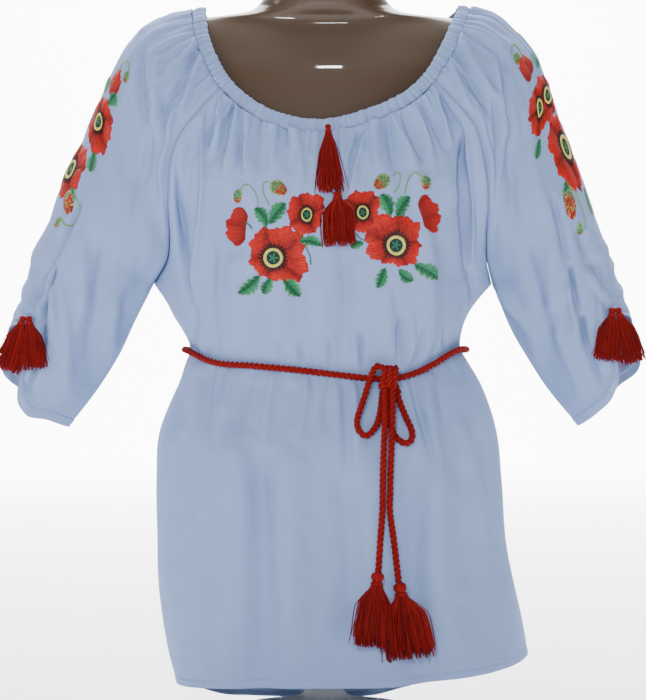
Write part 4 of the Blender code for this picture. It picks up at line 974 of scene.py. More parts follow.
def front_motifs():
    """The two sprays on the chest, in x and z: left of the neck tassels, then right."""
    big_left = [(0, 35), (25, 40), (50, 41), (80, 34), (110, 35), (140, 33), (165, 27), (185, 27),
                (205, 26), (230, 24), (255, 25), (280, 26), (305, 34), (330, 42), (345, 40)]
    big_right = [(0, 28), (20, 29), (40, 36), (65, 37), (90, 35), (115, 40), (140, 43), (160, 38),
                 (180, 36), (205, 34), (230, 27), (255, 23), (280, 25), (310, 30), (340, 29)]
    small = [(0, 16), (40, 24), (90, 23), (130, 24), (180, 20), (220, 21), (270, 21), (320, 19)]
    parts = []
    parts += leaf(-52, 514, -36, 536, 15, 0.05) + leaf(-54, 512, -67, 531, 13, -0.08)
    parts += leaf(-22, 497, 1.5, 492, 11, 0.12, light=0.6)
    parts += stem([(-22.5, 508), (-17, 495), (-11, 482.5), (-9.6, 472.5)], 1.4)
    parts += leaf(-62, 462, -82, 444, 14, 0.08) + leaf(-50, 459, -58, 443, 12, -0.05)
    parts += leaf(-38, 461, -20, 440, 15, -0.06, light=0.7)
    parts += half_poppy(-75, 511, -98, 514, 41, 3)
    parts += poppy(-14, 523.5, small, (6.0, 7.0), (0.4, 4), 4, 0.98)
    parts += poppy(-48, 480, [(a, r * 0.93) for a, r in big_left], (9.8, 10.0), (0.6, 5), 1)
    parts += bud(-43, 551, 20, 15, -38, 0.45) + bud(-84.5, 543.5, 15, 10, -96, 0.4)
    parts += stem([(-81.5, 550), (-75.5, 555), (-70.5, 551.5), (-66, 544), (-63.5, 533)], 1.5, PALE_GREEN)
    parts += stem([(-52.5, 557.5), (-57.5, 557), (-59.5, 551.5), (-57.5, 544), (-52, 533)], 1.5, PALE_GREEN)
    parts += stem([(-56.5, 522), (-57, 517), (-56.5, 510)], 1.6)
    parts += stem([(-77, 516.5), (-73, 514), (-70, 510)], 1.6)
    parts += leaf(72, 523, 62, 545, 15, -0.05) + leaf(77, 522, 91, 543, 14, 0.08)
    parts += leaf(44, 495, 31, 490, 10, -0.12, light=0.6)
    parts += leaf(66, 470, 58, 449, 12, 0.05) + leaf(80, 468, 95, 457, 12, -0.1)
    parts += leaf(96, 474, 117, 459, 15, 0.08, light=0.7)
    parts += half_poppy(102, 523, 123, 529, 41, 5)
    parts += poppy(43, 526, small, (6.0, 7.0), (0.9, 4), 6, 0.98)
    parts += poppy(77, 493, [(a, r * 0.88) for a, r in big_right], (9.8, 10.2), (0.2, 5), 2)
    parts += bud(62.6, 557.4, 20, 15, -142, 0.45) + bud(107.4, 557.4, 15, 10, -84, 0.4)
    parts += stem([(73.5, 563), (78.5, 567), (82, 563), (79.5, 553), (75, 546.5)], 1.5, PALE_GREEN)
    parts += stem([(103, 563), (96.5, 567.5), (91.5, 563), (87.5, 554), (86.3, 546.5)], 1.5, PALE_GREEN)
    parts += stem([(84, 532), (85, 527), (84, 521)], 1.6) + stem([(36, 505), (40, 500), (46, 497)], 1.4)
    return parts


def sleeve_motifs(right):
    """The column of a sleeve, in mm across and along from its big poppy, shoulder to cuff."""
    big = [(0, 27), (40, 31), (80, 30), (120, 26), (160, 29), (200, 30), (240, 27), (280, 29), (320, 31)]
    if right:
        parts = stem([(24, -78), (14, -84), (8, -76), (12, -64), (14, -56)], 1.5, PALE_GREEN)
        parts += bud(21, -68, 15, 11, 90, 0.4)
        parts += half_poppy(14, -34, 18, -66, 27, 7)
        parts += leaf(-4, -30, -14, -50, 14, 0.06) + leaf(34, 22, 46, 34, 12, 0.05)
        parts += poppy(22, -2, big, (7.5, 8.5), (0.9, 5), 9, 0.78)
        parts += poppy(0, 0, big, (7.5, 8.5), (0.5, 5), 8, 0.84)
        parts += poppy(-4, 52, big, (9.0, 9.5), (0.2, 5), 10, 1.04)
        parts += leaf(18, 70, 30, 84, 12, 0.08) + leaf(-12, 82, -16, 98, 12, -0.06)
        parts += bud(24, 84, 21, 17, 60, 0.75) + bud(20, 103, 13, 9, 100, 0.4)
        parts += stem([(18, 74), (11, 81), (9, 93), (13, 103), (20, 99)], 1.4, PALE_GREEN)
        return parts
    parts = stem([(18, -76), (8, -84), (0, -76), (2, -66), (4, -58)], 1.5, PALE_GREEN)
    parts += bud(16, -72, 15, 11, 90, 0.4)
    parts += half_poppy(0, -36, 2, -68, 28, 7)
    parts += leaf(10, -27, 14, -46, 14, 0.06) + leaf(-16, -28, -24, -46, 13, -0.05)
    parts += leaf(8, 27, 14, 46, 14, 0.05) + leaf(-26, 32, -34, 46, 12, -0.06)
    parts += poppy(-20, 57, big, (8.5, 9.0), (0.9, 5), 9, 0.92)
    parts += poppy(0, 0, big, (8.0, 9.0), (0.5, 5), 8, 1.0)
    parts += leaf(-2, 68, 6, 82, 12, 0.08)
    parts += bud(0, 82, 23, 18, 60, 0.75) + bud(-6, 104, 14, 10, 100, 0.4)
    parts += stem([(6, 72), (13, 80), (14, 92), (8, 101), (-2, 98)], 1.4, PALE_GREEN)
    return parts


def sewn_on(parts, place):
    """Bring local stitches onto a surface: `place` gives a point and a normal for each u and v."""
    points, quads, tint, thread = join(parts)
    base, normal = place(points[:, 0], points[:, 1])
    return base + normal * (CLOTH / 2 - STITCH_SINK + points[:, 2])[:, None], quads, tint, thread


def place_front(u, v):
    """Finished front and its normal at x = u, z = v."""
    s, row = solve_front(u, v)
    return front_surface(s, row), front_normal(s, row)


def place_sleeve(right, w0, row0):
    """Maker of a map from mm across and along a sleeve to its finished surface and normal."""
    def place(u, v):
        """Step along, then across, by the surface's own speed, and read the finished sleeve there."""
        w, row, e, reach = np.full(u.shape, w0), np.full(u.shape, row0), 2e-3, 4e-3
        step = sleeve_surface(right, w, row + e) - sleeve_surface(right, w, row - e)
        row = row0 + v / (np.linalg.norm(step, axis=-1) / 2 / e)
        step = sleeve_surface(right, w + e, row) - sleeve_surface(right, w - e, row)
        w = w0 - u / (np.linalg.norm(step, axis=-1) / 2 / e)
        da = sleeve_cloth(right, w + reach, row) - sleeve_cloth(right, w - reach, row)
        db = sleeve_cloth(right, w, row + reach) - sleeve_cloth(right, w, row - reach)
        normal = unit(np.cross(da, db))
        away = np.array([1.0 if right else -1.0, -0.6, 0.1])
        return sleeve_cloth(right, w, row), normal * np.sign(normal @ away)[:, None]
    return place


# ---------------------------------------------------------------- threads

SPLAY = 1.12            # foot of a tassel over that of its solid
STRAY = 0.12            # share of threads that wander out of their tassel
WINDING = 4.5           # length of the wound neck of a tassel

def strands(seed, top, foot, start_half, foot_half, depth_half, count, thick, belly):
    """Skirt of a tassel: thin threads from a bound neck to an uneven foot.

    Each thread starts in a disc at the neck, spreads by a square-root ease to its place in the
    foot's oval, waves a little on the way and ends at its own length.
    """
    rng = np.random.default_rng(seed)
    axis = unit(foot - top)
    out = unit(np.array([0.0, -1.0, 0.0]) - axis * -axis[1])
    side = np.cross(axis, out)
    length = np.linalg.norm(foot - top)
    a = rng.uniform(0, 2 * math.pi, count)
    r = np.sqrt(rng.uniform(0, 1, count))
    wander = np.where(rng.uniform(0, 1, count) < STRAY, 1.28, 1.0)
    x_end, y_end = np.cos(a) * r * foot_half * wander, np.sin(a) * r * depth_half
    x_top, y_top = np.cos(a) * r * start_half, np.sin(a) * r * min(start_half, depth_half)
    reach = length * rng.uniform(0.86, 1.05, count)
    rows, sides = 9, 4
    t = np.linspace(0, 1, rows)
    spread = (1 - belly) * t + belly * ease(np.minimum(1.0, t * 2.3))
    phase = rng.uniform(0, 6.28, count)[:, None]
    wave = 0.9 * np.sin(t * rng.uniform(3, 8, count)[:, None] + phase) * t
    x = x_top[:, None] + (x_end - x_top)[:, None] * spread + wave
    y = y_top[:, None] + (y_end - y_top)[:, None] * spread + wave[:, ::-1] * 0.4 * t
    middle = (top + axis * (reach[:, None] * t)[..., None] + side * x[..., None] + out * y[..., None])
    ring = np.arange(sides) * math.pi / 2
    fat = thick / 2 * (1 - 0.25 * t)
    pts = (middle[:, :, None] + side * (np.cos(ring) * fat[:, None])[None, :, :, None]
           + out * (np.sin(ring) * fat[:, None])[None, :, :, None])
    one = grid_faces(rows, sides, close_cols=True)
    first, last = np.arange(sides), np.arange(rows * sides)[:-sides - 1:-1]
    one = np.vstack([one, first, last])
    quads = (one[None] + (np.arange(count) * rows * sides)[:, None, None]).reshape(-1, 4)
    shade = rng.uniform(0.55, 1.25, count)[:, None, None, None]
    tint = np.broadcast_to(shade, (count, rows, sides, 3)).reshape(-1, 3)
    uv = np.stack(np.broadcast_arrays(ring * (0.4 / math.pi), (t * length)[:, None]), -1)
    uv = np.broadcast_to(uv, (count, rows, sides, 2)).reshape(-1, 2)
    return pts.reshape(-1, 3), quads, tint, uv


def lathe(top, foot, profile, coil, turns, sides=28):
    """Solid of turning between two points from rows of fraction and half width, closed to its poles.

    A coil adds a shallow winding of thread: a rounded ridge each turn along the axis.
    """
    axis = unit(foot - top)
    out = unit(np.array([0.0, -1.0, 0.0]) - axis * -axis[1])
    side = np.cross(axis, out)
    at = np.linspace(profile[0][0], profile[-1][0], 46)
    half = np.maximum(smooth(profile, at), 0.02)
    a = np.arange(sides) * 2 * math.pi / sides
    ridge = coil * np.abs(np.sin(math.pi * turns * at[:, None] + a / 2)) * np.minimum(1, half[:, None] / 2)
    r = np.pad(half[:, None] + ridge, ((1, 1), (0, 0)))
    at = np.pad(at, 1, mode="edge")
    length = np.linalg.norm(foot - top)
    pts = (top + axis * (length * at)[:, None, None] + side * (r * np.cos(a))[..., None]
           + out * (r * np.sin(a))[..., None])
    uv = np.stack(np.broadcast_arrays(a * 3.0, (at * length * 2.0)[:, None]), -1)
    tint = np.full(pts.shape, 0.9)
    quads = grid_faces(len(at), sides, close_cols=True)
    return pts.reshape(-1, 3), quads, tint.reshape(-1, 3), uv.reshape(-1, 2)


def tassel(seed, top, foot, head, neck, foot_half, depth, count, head_part, thick, belly=0.75):
    """Bound head, wound neck and skirt of threads between two points."""
    top, foot = np.array(top, float), np.array(foot, float)
    length = np.linalg.norm(foot - top)
    ball = [(0.0, head * 0.35), (0.18, head * 0.82), (0.5, head), (0.82, head * 0.8), (1.0, neck * 0.8)]
    knob = lathe(top, top + (foot - top) * head_part, ball, coil=0.5, turns=7)
    start = top + (foot - top) * (head_part * 0.92)
    barrel = [(0.0, neck * 0.7), (0.2, neck * 1.05), (0.8, neck * 1.08), (1.0, neck * 0.8)]
    wound = lathe(start, start + (foot - top) * (WINDING / length), barrel, coil=0.45, turns=4)
    skirt = strands(seed, start, foot, neck * 0.8, foot_half, depth, count, thick, belly)
    return join([knob, wound, skirt])


# ---------------------------------------------------------------- materials

def shade_group(name, build, sockets):
    """Shader node group with named value inputs, made once and shared."""
    if name in bpy.data.node_groups:
        return bpy.data.node_groups[name]
    group = bpy.data.node_groups.new(name, "ShaderNodeTree")
    for label, kind, direction, value in sockets:
        socket = group.interface.new_socket(label, in_out=direction, socket_type=kind)
        if direction == "INPUT" and value is not None:
            socket.default_value = value
    build(group, group.nodes.new("NodeGroupInput"), group.nodes.new("NodeGroupOutput"))
    return group


def math_node(group, operation, a, b=0.0):
    """Math node whose inputs are sockets or plain numbers."""
    node = group.nodes.new("ShaderNodeMath")
    node.operation = operation
    for socket, value in zip(node.inputs, (a, b)):
        if isinstance(value, (int, float)):
            socket.default_value = value
        else:
            group.links.new(value, socket)
    return node.outputs[0]


def build_weave(group, enter, leave):
    """Crepe: threads both ways in uv millimetres, broken by noise, as a height and a tone."""
    split = group.nodes.new("ShaderNodeSeparateXYZ")
    uv = group.nodes.new("ShaderNodeUVMap")
    uv.uv_map = "UVMap"
    group.links.new(uv.outputs[0], split.inputs[0])
    count = enter.outputs["Threads per mm"]
    waves = []
    for along in split.outputs[:2]:
        turns = math_node(group, "MULTIPLY", math_node(group, "MULTIPLY", along, count), 6.283)
        waves.append(math_node(group, "SINE", turns))
    cross = math_node(group, "MULTIPLY", *waves)
    noise = group.nodes.new("ShaderNodeTexNoise")
    noise.inputs["Scale"].default_value = 0.55
    noise.inputs["Detail"].default_value = 5.0
    noise.inputs["Roughness"].default_value = 0.62
    group.links.new(uv.outputs[0], noise.inputs["Vector"])
    crepe = math_node(group, "MULTIPLY", noise.outputs["Fac"], enter.outputs["Crepe"])
    height = math_node(group, "ADD", math_node(group, "MULTIPLY", cross, 0.14), crepe)
    spread = math_node(group, "MULTIPLY", math_node(group, "SUBTRACT", noise.outputs["Fac"], 0.5), 0.16)
    tone = math_node(group, "ADD", spread, 1.0)
    group.links.new(height, leave.inputs["Height"])
    group.links.new(tone, leave.inputs["Tone"])


def build_thread(group, enter, leave):
    """Floss: fine stripes across uv u, uneven by noise, as a height and a tone that is painted shade, darker
    in the stripes' low grooves.
    """
    uv = group.nodes.new("ShaderNodeUVMap")
    uv.uv_map = "UVMap"
    split = group.nodes.new("ShaderNodeSeparateXYZ")
    group.links.new(uv.outputs[0], split.inputs[0])
    noise = group.nodes.new("ShaderNodeTexNoise")
    noise.inputs["Scale"].default_value = 0.8
    noise.inputs["Detail"].default_value = 3.0
    group.links.new(uv.outputs[0], noise.inputs["Vector"])
    drift = math_node(group, "MULTIPLY", noise.outputs["Fac"], 1.6)
    slant = math_node(group, "MULTIPLY", split.outputs[1], enter.outputs["Twist"])
    run = math_node(group, "ADD", math_node(group, "ADD", split.outputs[0], slant), drift)
    wave = math_node(group, "SINE", math_node(group, "MULTIPLY", run, enter.outputs["Stripe"]))
    height = math_node(group, "MULTIPLY", math_node(group, "ADD", wave, 1.0), 0.5)
    # painted shade: the tone follows the stripes' height, darker in the grooves between threads
    tone = math_node(group, "ADD", math_node(group, "MULTIPLY", height, 0.45), 0.62)
    group.links.new(height, leave.inputs["Height"])
    group.links.new(tone, leave.inputs["Tone"])


def weave_group():
    """The crepe's group with its two inputs, threads per millimetre and share of noise."""
    return shade_group("Crepe weave", build_weave, [
        ("Threads per mm", "NodeSocketFloat", "INPUT", 1.3), ("Crepe", "NodeSocketFloat", "INPUT", 1.0),
        ("Height", "NodeSocketFloat", "OUTPUT", None), ("Tone", "NodeSocketFloat", "OUTPUT", None)])


def thread_group():
    """The floss's group with its two inputs, stripes per millimetre and their slant."""
    return shade_group("Floss thread", build_thread, [
        ("Stripe", "NodeSocketFloat", "INPUT", 6.0), ("Twist", "NodeSocketFloat", "INPUT", 0.0),
        ("Height", "NodeSocketFloat", "OUTPUT", None), ("Tone", "NodeSocketFloat", "OUTPUT", None)])


def material(name, colour, rough, group=None, values=(), bump=0.0, depth=0.0005, tint=False,
             coat=0.0, gloss=0.5):
    """Principled material: colour times the group's tone and the points' tint, bump from its height."""
    if name in bpy.data.materials:
        return bpy.data.materials[name]
    mat = bpy.data.materials.new(name)
    mat.use_nodes = True
    tree = mat.node_tree
    shader = tree.nodes["Principled BSDF"]
    shader.inputs["Base Color"].default_value = (*colour, 1.0)
    shader.inputs["Roughness"].default_value = rough
    shader.inputs["Coat Weight"].default_value = coat
    shader.inputs["Specular IOR Level"].default_value = gloss
    mix = tree.nodes.new("ShaderNodeVectorMath")
    mix.operation = "MULTIPLY"
    mix.inputs[0].default_value = colour
    mix.inputs[1].default_value = (1.0, 1.0, 1.0)
    if tint:
        attribute = tree.nodes.new("ShaderNodeAttribute")
        attribute.attribute_name = "Tint"
        tree.links.new(attribute.outputs["Color"], mix.inputs[1])
    last = mix
    if group is not None:
        node = tree.nodes.new("ShaderNodeGroup")
        node.node_tree = group
        for label, value in values:
            node.inputs[label].default_value = value
        scale = tree.nodes.new("ShaderNodeVectorMath")
        scale.operation = "SCALE"
        tree.links.new(mix.outputs[0], scale.inputs[0])
        tree.links.new(node.outputs["Tone"], scale.inputs["Scale"])
        last = scale
        relief = tree.nodes.new("ShaderNodeBump")
        relief.inputs["Strength"].default_value = bump
        relief.inputs["Distance"].default_value = depth
        tree.links.new(node.outputs["Height"], relief.inputs["Height"])
        tree.links.new(relief.outputs[0], shader.inputs["Normal"])
    tree.links.new(last.outputs[0], shader.inputs["Base Color"])
    return mat


def cloth_material(look):
    """Matt pale crepe: the weave's tone and relief on the cloth's colour."""
    return material("white_crepe", tuple(look.cloth_colour), 0.82, weave_group(), [("Threads per mm", 1.3)],
                    bump=0.35, depth=0.0006, gloss=0.15)


def cord_material(look):
    """Twisted floss: slanting stripes in relief on the cord's colour, with painted shade in their grooves.
    """
    return material("red_cord", tuple(look.cord_colour), 0.72, thread_group(),
                    [("Stripe", 5.0), ("Twist", 0.5)], bump=0.8, depth=0.0005, gloss=0.12)


def tassel_material(look):
    """Loose floss: the cord's colour times each thread's own tint and the stripes' painted shade in their
    grooves.
    """
    return material("red_tassel", tuple(look.cord_colour), 0.7, thread_group(), [("Stripe", 4.0)],
                    bump=0.6, depth=0.0004, tint=True, gloss=0.12)


# ---------------------------------------------------------------- add-on

class BlouseLook(bpy.types.PropertyGroup):
    """Sizes and colours of the blouse."""
    cloth_thick: FloatProperty(name="Cloth", description="Thickness of the crepe", default=0.0010,
                               unit="LENGTH")
    cloth_colour: FloatVectorProperty(name="Cloth colour", description="Pale cool white", subtype="COLOR",
                                      default=(0.200, 0.272, 0.475))
    cord_colour: FloatVectorProperty(name="Cord colour", description="Dark red floss", subtype="COLOR",
                                     default=(0.23, 0.006, 0.005))
    form_colour: FloatVectorProperty(name="Form colour", description="Brown lacquer of the form",
                                     subtype="COLOR", default=(0.050, 0.028, 0.014))
    foot_colour: FloatVectorProperty(name="Foot colour", description="Pale foot of the form",
                                     subtype="COLOR", default=(0.75, 0.77, 0.80))
    cord_size: FloatProperty(name="Cord", description="Diameter of the belt cord", default=0.0072,
                             unit="LENGTH")
    cord_pitch: FloatProperty(name="Twist", description="Length of one turn of the cord", default=0.017,
                              unit="LENGTH")
    tassel_threads: IntProperty(name="Threads", description="Threads in one belt tassel", default=330,
                                min=20)
    light: FloatProperty(name="Light", description="Strength of the soft lights", default=1.0, min=0.0)


class BlouseStep(bpy.types.Operator):
    """One step of the build; it stops with an error rather than half finished."""
    bl_options = {"REGISTER", "UNDO"}

    def execute(self, context):
        """Build the step from the scene's sizes; any error stops the run."""
        self.build(context.scene.blouse_look)
        return {"FINISHED"}


class BLOUSE_OT_body(BlouseStep):
    """Front and back panels with their folds, gathers and hems."""
    bl_idname = "blouse.body"
    bl_label = "Body panels"

    def build(self, look):
        """Columns crowd towards the seams as a sine, rows towards the hem."""
        mat = cloth_material(look)
        for name, surface, flip, counts, flat in (
                ("front", front_surface, -1, (211, 96, 84), FLAT_FRONT),
                ("back", back_surface, 1, (161, 80, 70), FLAT_BACK)):
            even = np.linspace(-1, 1, counts[0])
            columns = 0.05 * even + 0.95 * np.sin(even * math.pi / 2)
            rows = np.unique(np.concatenate([np.linspace(0, 1, counts[1]), np.linspace(1, 1.97, counts[2]),
                                             np.linspace(1.97, 2, 12)]))
            piece = cloth_piece(f"blouse_{name}", surface, columns, rows, look.cloth_thick / MM, flip, mat,
                                f"{name}_panel")


class BLOUSE_OT_sleeves(BlouseStep):
    """Two raglan sleeves, each drawn up by a tie near its open cuff."""
    bl_idname = "blouse.sleeves"
    bl_label = "Sleeves"

    def build(self, look):
        """Even columns round each sleeve, rows crowded towards the cuff."""
        mat = cloth_material(look)
        columns = np.linspace(0.0, 1.0, 171)
        rows = np.unique(np.concatenate([np.linspace(0, 1.9, 112), np.linspace(1.9, 2, 22)]))
        for right, side in ((0, "left"), (1, "right")):
            piece = cloth_piece(f"blouse_sleeve_{side}", lambda w, r: sleeve_cloth(right, w, r),
                                columns, rows, look.cloth_thick / MM, 1, mat, f"sleeve_{side}")


class BLOUSE_OT_band(BlouseStep):
    """Neck casing, drawn up on its elastic into fine uneven gathers."""
    bl_idname = "blouse.band"
    bl_label = "Neck casing"

    def build(self, look):
        """Oval section swept round the neck; its bulge follows 150 seeded ruches."""
        count, sides, ruches = 900, 20, 150
        at = np.arange(count) * BAND_KEY[-1] / count
        upper, lower = band_edges(at)
        middle, half = (upper + lower) / 2, (upper - lower) / 2
        tangent = unit(np.roll(middle, -1, 0) - np.roll(middle, 1, 0))
        normal = unit(np.cross(half, tangent))
        normal = normal * np.sign(np.sum(normal * (middle - np.array([FORM_X, 0, 640])), 1))[:, None]
        rng = np.random.default_rng(3)
        places = (np.arange(ruches) + rng.uniform(-0.35, 0.35, ruches)) / ruches * BAND_KEY[-1]
        heights = rng.uniform(0.8, 2.6, ruches)
        gap = np.abs(at[:, None] - places)
        gap = np.minimum(gap, BAND_KEY[-1] - gap)
        ridge = (heights * np.exp(-(gap / 1.7) ** 2)).sum(1) - 1.1
        angle = np.arange(sides) * 2 * math.pi / sides
        face = np.sign(np.cos(angle)) * np.abs(np.cos(angle)) ** 0.75
        grow = 0.55 + 0.45 * np.abs(np.cos(angle))
        stitch = 0.45 * np.exp(-((np.abs(np.sin(angle)) - 0.55) / 0.14) ** 2)
        out = (BAND_THICK / 2 * 0.92 + ridge[:, None] * 0.9) * face - stitch * np.sign(face)
        up = np.sin(angle) * (1.07 + 0.10 * ridge[:, None] * grow)
        pts = middle[:, None] + normal[:, None] * out[..., None] + half[:, None] * up[..., None]
        quads = grid_faces(count, sides, close_rows=True, close_cols=True)
        verts = pts.reshape(-1, 3)
        a, b, c = verts[quads[:, 0]], verts[quads[:, 1]], verts[quads[:, 2]]
        faces_out = np.sum(np.cross(b - a, c - a) * (pts - middle[:, None]).reshape(-1, 3), 1).sum()
        quads = quads if faces_out > 0 else quads[:, ::-1]
        uv = np.stack(np.broadcast_arrays(at[:, None], angle * 2.4), -1)
        make_piece("blouse_neck_band", verts, quads, cloth_material(look), uv=uv.reshape(-1, 2),
                   nodes=("neck_band",))


class BLOUSE_OT_embroidery(BlouseStep):
    """Poppies, leaves and buds in satin stitch on the chest and down both sleeves."""
    bl_idname = "blouse.embroidery"
    bl_label = "Embroidery"

    def build(self, look):
        """The chest's two sprays, then a column on each sleeve."""
        # the floss's stripes carry painted shade in their grooves
        mat = material("floss", (1.0, 1.0, 1.0), 0.55, thread_group(), [("Stripe", 4.2)], bump=0.7,
                       depth=0.0004, tint=True, gloss=0.2)
        jobs = [("front", front_motifs(), place_front, (4.0, 0.0, 500.0))]
        for right, side, w0, row0 in ((0, "left", 0.375, 0.655), (1, "right", 0.405, 0.60)):
            middle = ((1 if right else -1) * 215.0, 0.0, 600.0)
            jobs.append((side, sleeve_motifs(right), place_sleeve(right, w0, row0), middle))
        for name, motifs, place, middle in jobs:
            verts, quads, tint, thread = sewn_on(motifs, place)
            quads = turned_out(verts, quads, np.array(middle))
            make_piece(f"embroidery_{name}", verts, quads, mat, uv=thread, colour=tint,
                       weld=True)


class BLOUSE_OT_belt(BlouseStep):
    """Twisted cord round the waist, its bow knot and two loops."""
    bl_idname = "blouse.belt"
    bl_label = "Belt and bow"

    def build(self, look):
        """The belt follows the panels' waist row at a cord's distance; the bow hangs in front."""
        mat = cord_material(look)
        size, pitch = look.cord_size / MM, look.cord_pitch / MM
        off = CLOTH / 2 + CORD_D / 2 + REST_GAP + BELT_EASE
        even = np.linspace(-1, 1, 61)[1:-1]
        s = 0.45 * even + 0.55 * np.sin(even * math.pi / 2)
        row = np.full_like(s, WAIST_ROW)
        left_seam, right_seam = smooth(SIDES, WAIST_Z)
        loop = np.vstack([[(left_seam, 0, WAIST_Z)], body_panel(True, s, row), [(right_seam, 0, WAIST_Z)],
                          body_panel(False, s, row)[::-1]])
        tangent = unit(np.roll(loop, -1, 0) - np.roll(loop, 1, 0))
        path = loop + unit(np.cross(tangent, (0.0, 0.0, 1.0))) * off
        first = int(np.argmin(np.hypot(path[:, 0] - KNOT[0], path[:, 2] - 358) + 200 * (path[:, 1] > 0)))
        path = np.roll(path, -first, 0)
        self.lay("belt_around", path, size, pitch, mat, "belt_cord", "knot", "taut", closed=True)
        left = [(66.0, 366, 16)] + LOOP_LEFT + [(67.0, 350, 11)]
        right = [(75.0, 352, 12)] + LOOP_RIGHT + [(71.5, 350, 11)]
        for side, table in (("left", left), ("right", right)):
            self.lay(f"bow_{side}", on_front(table, 90), size, pitch, mat, f"bow_loop_{side}", "object",
                     "hanging")
        self.knot(size, mat)

    def lay(self, name, path, size, pitch, mat, node, far_end, lay, closed=False):
        """Make one cord from its path; a point of its path every 8 mm is picked, but neither they nor its
        length are used.
        """
        verts, quads, uv, line, length = rope(path, size, pitch, closed)
        piece = make_piece(name, verts, quads, mat, uv=uv, nodes=(node,), weld=True)
        steps = max(2, int(length / 8))
        pick = line[np.linspace(0, len(line) - 1, steps).astype(int)]
        if closed:
            pick = np.vstack([pick, line[:1]])
        return piece

    def knot(self, size, mat):
        """Bow knot: three half rings over the front, crossed behind by two short wraps."""
        x, z, dist, _, half_h, half_d = KNOT
        y = front_depth(np.array([x]), np.array([z]))[0, 1] - CLOTH / 2 - dist
        middle = np.array([x, y, z])
        parts = []
        for shift, tilt, grow in ((-5.4, 0.30, 0.0), (0.4, 0.22, 1.6), (5.8, 0.12, 0.2)):
            a = np.linspace(-2.5, 2.5, 60)
            line = np.stack([shift + math.sin(tilt) * half_h * 0.8 * np.sin(a),
                             -(half_d * 0.5 + grow) * np.cos(a), (half_h * 0.86) * np.sin(a)], 1)
            parts.append(rope(middle + line, size, KNOT_PITCH)[:3])
        for z0, x0, x1 in ((4.5, -7.0, 6.0), (-3.5, -6.0, 7.5)):
            a = np.linspace(0, 1, 30)
            line = np.stack([x0 + (x1 - x0) * a, 1.2 - 1.5 * np.sin(a * math.pi),
                             z0 + 2.0 * np.sin(a * 4)], 1)
            parts.append(rope(middle + line, size, KNOT_PITCH)[:3])
        verts, quads, uv = join(parts)
        make_piece("bow_knot_wraps", verts, quads, mat, uv=uv, nodes=("bow_knot",), weld=True)


class BLOUSE_OT_tassels(BlouseStep):
    """Belt ends and all eight tassels: two on the belt, two at the neck, two at each cuff."""
    bl_idname = "blouse.tassels"
    bl_label = "Belt ends and tassels"

    def build(self, look):
        """Belt ends with their tassels, then the neck's and the cuffs'."""
        mat, red = tassel_material(look), cord_material(look)
        ends = (("left", [(67.5, 353, 17)] + END_LEFT + [(58.4, 156, 6.5)]),
                ("right", [(73.5, 353, 17)] + END_RIGHT + [(80.2, 146, 6.5)]))
        for number, (side, table) in enumerate(ends):
            node = f"belt_tassel_{side}"
            x0, z0, x1, z1, head, wide, deep = BELT_TASSELS[node]
            top, foot = self.hung(x0, z0, x1, z1, deep)
            hair = self.put(node, mat, tassel(50 + number, top, foot, head * 0.86, 5.0, wide * SPLAY, deep,
                                              look.tassel_threads, 0.14, thick=1.15))
            size, pitch = look.cord_size / MM, look.cord_pitch / MM
            verts, quads, uv, line, length = rope(on_front(table, 90), size, pitch)
            node = f"belt_end_{side}"
            piece = make_piece(f"{node}_cord", verts, quads, red, uv=uv, nodes=(node,),
                               weld=True)
        style = ((2.6, 2.5, 0.25), (4.2, 3.6, 0.95))
        for number, (node, row) in enumerate(NECK_TASSELS.items()):
            x0, z0, x1, z1, _, wide, deep = row
            top, foot = self.hung(x0, min(z0, 604), x1, z1, deep)
            top[2] = z0
            head, neck, belly = style[number]
            self.put(node, mat, tassel(60 + number, top, foot, head, neck, wide * SPLAY, deep, 260, 0.08,
                                       thick=1.0, belly=belly))
        for side, right in (("left", 0), ("right", 1)):
            self.cuff(side, right, mat)

    def hung(self, x0, z0, x1, z1, deep):
        """Top and foot of a tassel: the front at two places, brought out by its depth and 1.5 mm."""
        return front_depth(np.array([x0, x1]), np.array([z0, z1])) - np.array([0, CLOTH / 2 + deep + 1.5, 0])

    def put(self, node, mat, parts):
        """Make a tassel from its points, quads, tint and uv, in place of its solid."""
        verts, quads, tint, uv = parts
        return make_piece(f"{node}_threads", verts, quads, mat, uv=uv, colour=tint,
                          nodes=(node,), weld=True)

    def cuff(self, side, right, mat):
        """Two small tassels that hang from the drawn-up point of a cuff."""
        way = 1.0 if right else -1.0
        w, row = np.array([CUFF_TIE_W]), np.array([CUFF_TIE_ROW])
        point = sleeve_surface(right, w, row)[0]
        du = sleeve_surface(right, w + 0.01, row)[0] - sleeve_surface(right, w - 0.01, row)[0]
        dv = point - sleeve_surface(right, w, row - 0.05)[0]
        out = unit(np.cross(du, dv))
        out = out * np.sign(out[0] * way - out[1])
        start = point + out * 9
        for number, (tx, ty, fx, fy, length, wide) in enumerate(CUFF_TASSELS, 1):
            top = start + np.array([way * tx * 0.45, ty, 3.0])
            foot = start + np.array([way * (fx * 1.35 - 2.0), fy, 1.0 - length])
            self.put(f"cuff_tassel_{side}_{number}", mat,
                     tassel(70 + number + 5 * right, top, foot, 3.4, 3.0, wide * 1.55, 4.8, 240, 0.10,
                            thick=1.0, belly=0.6))


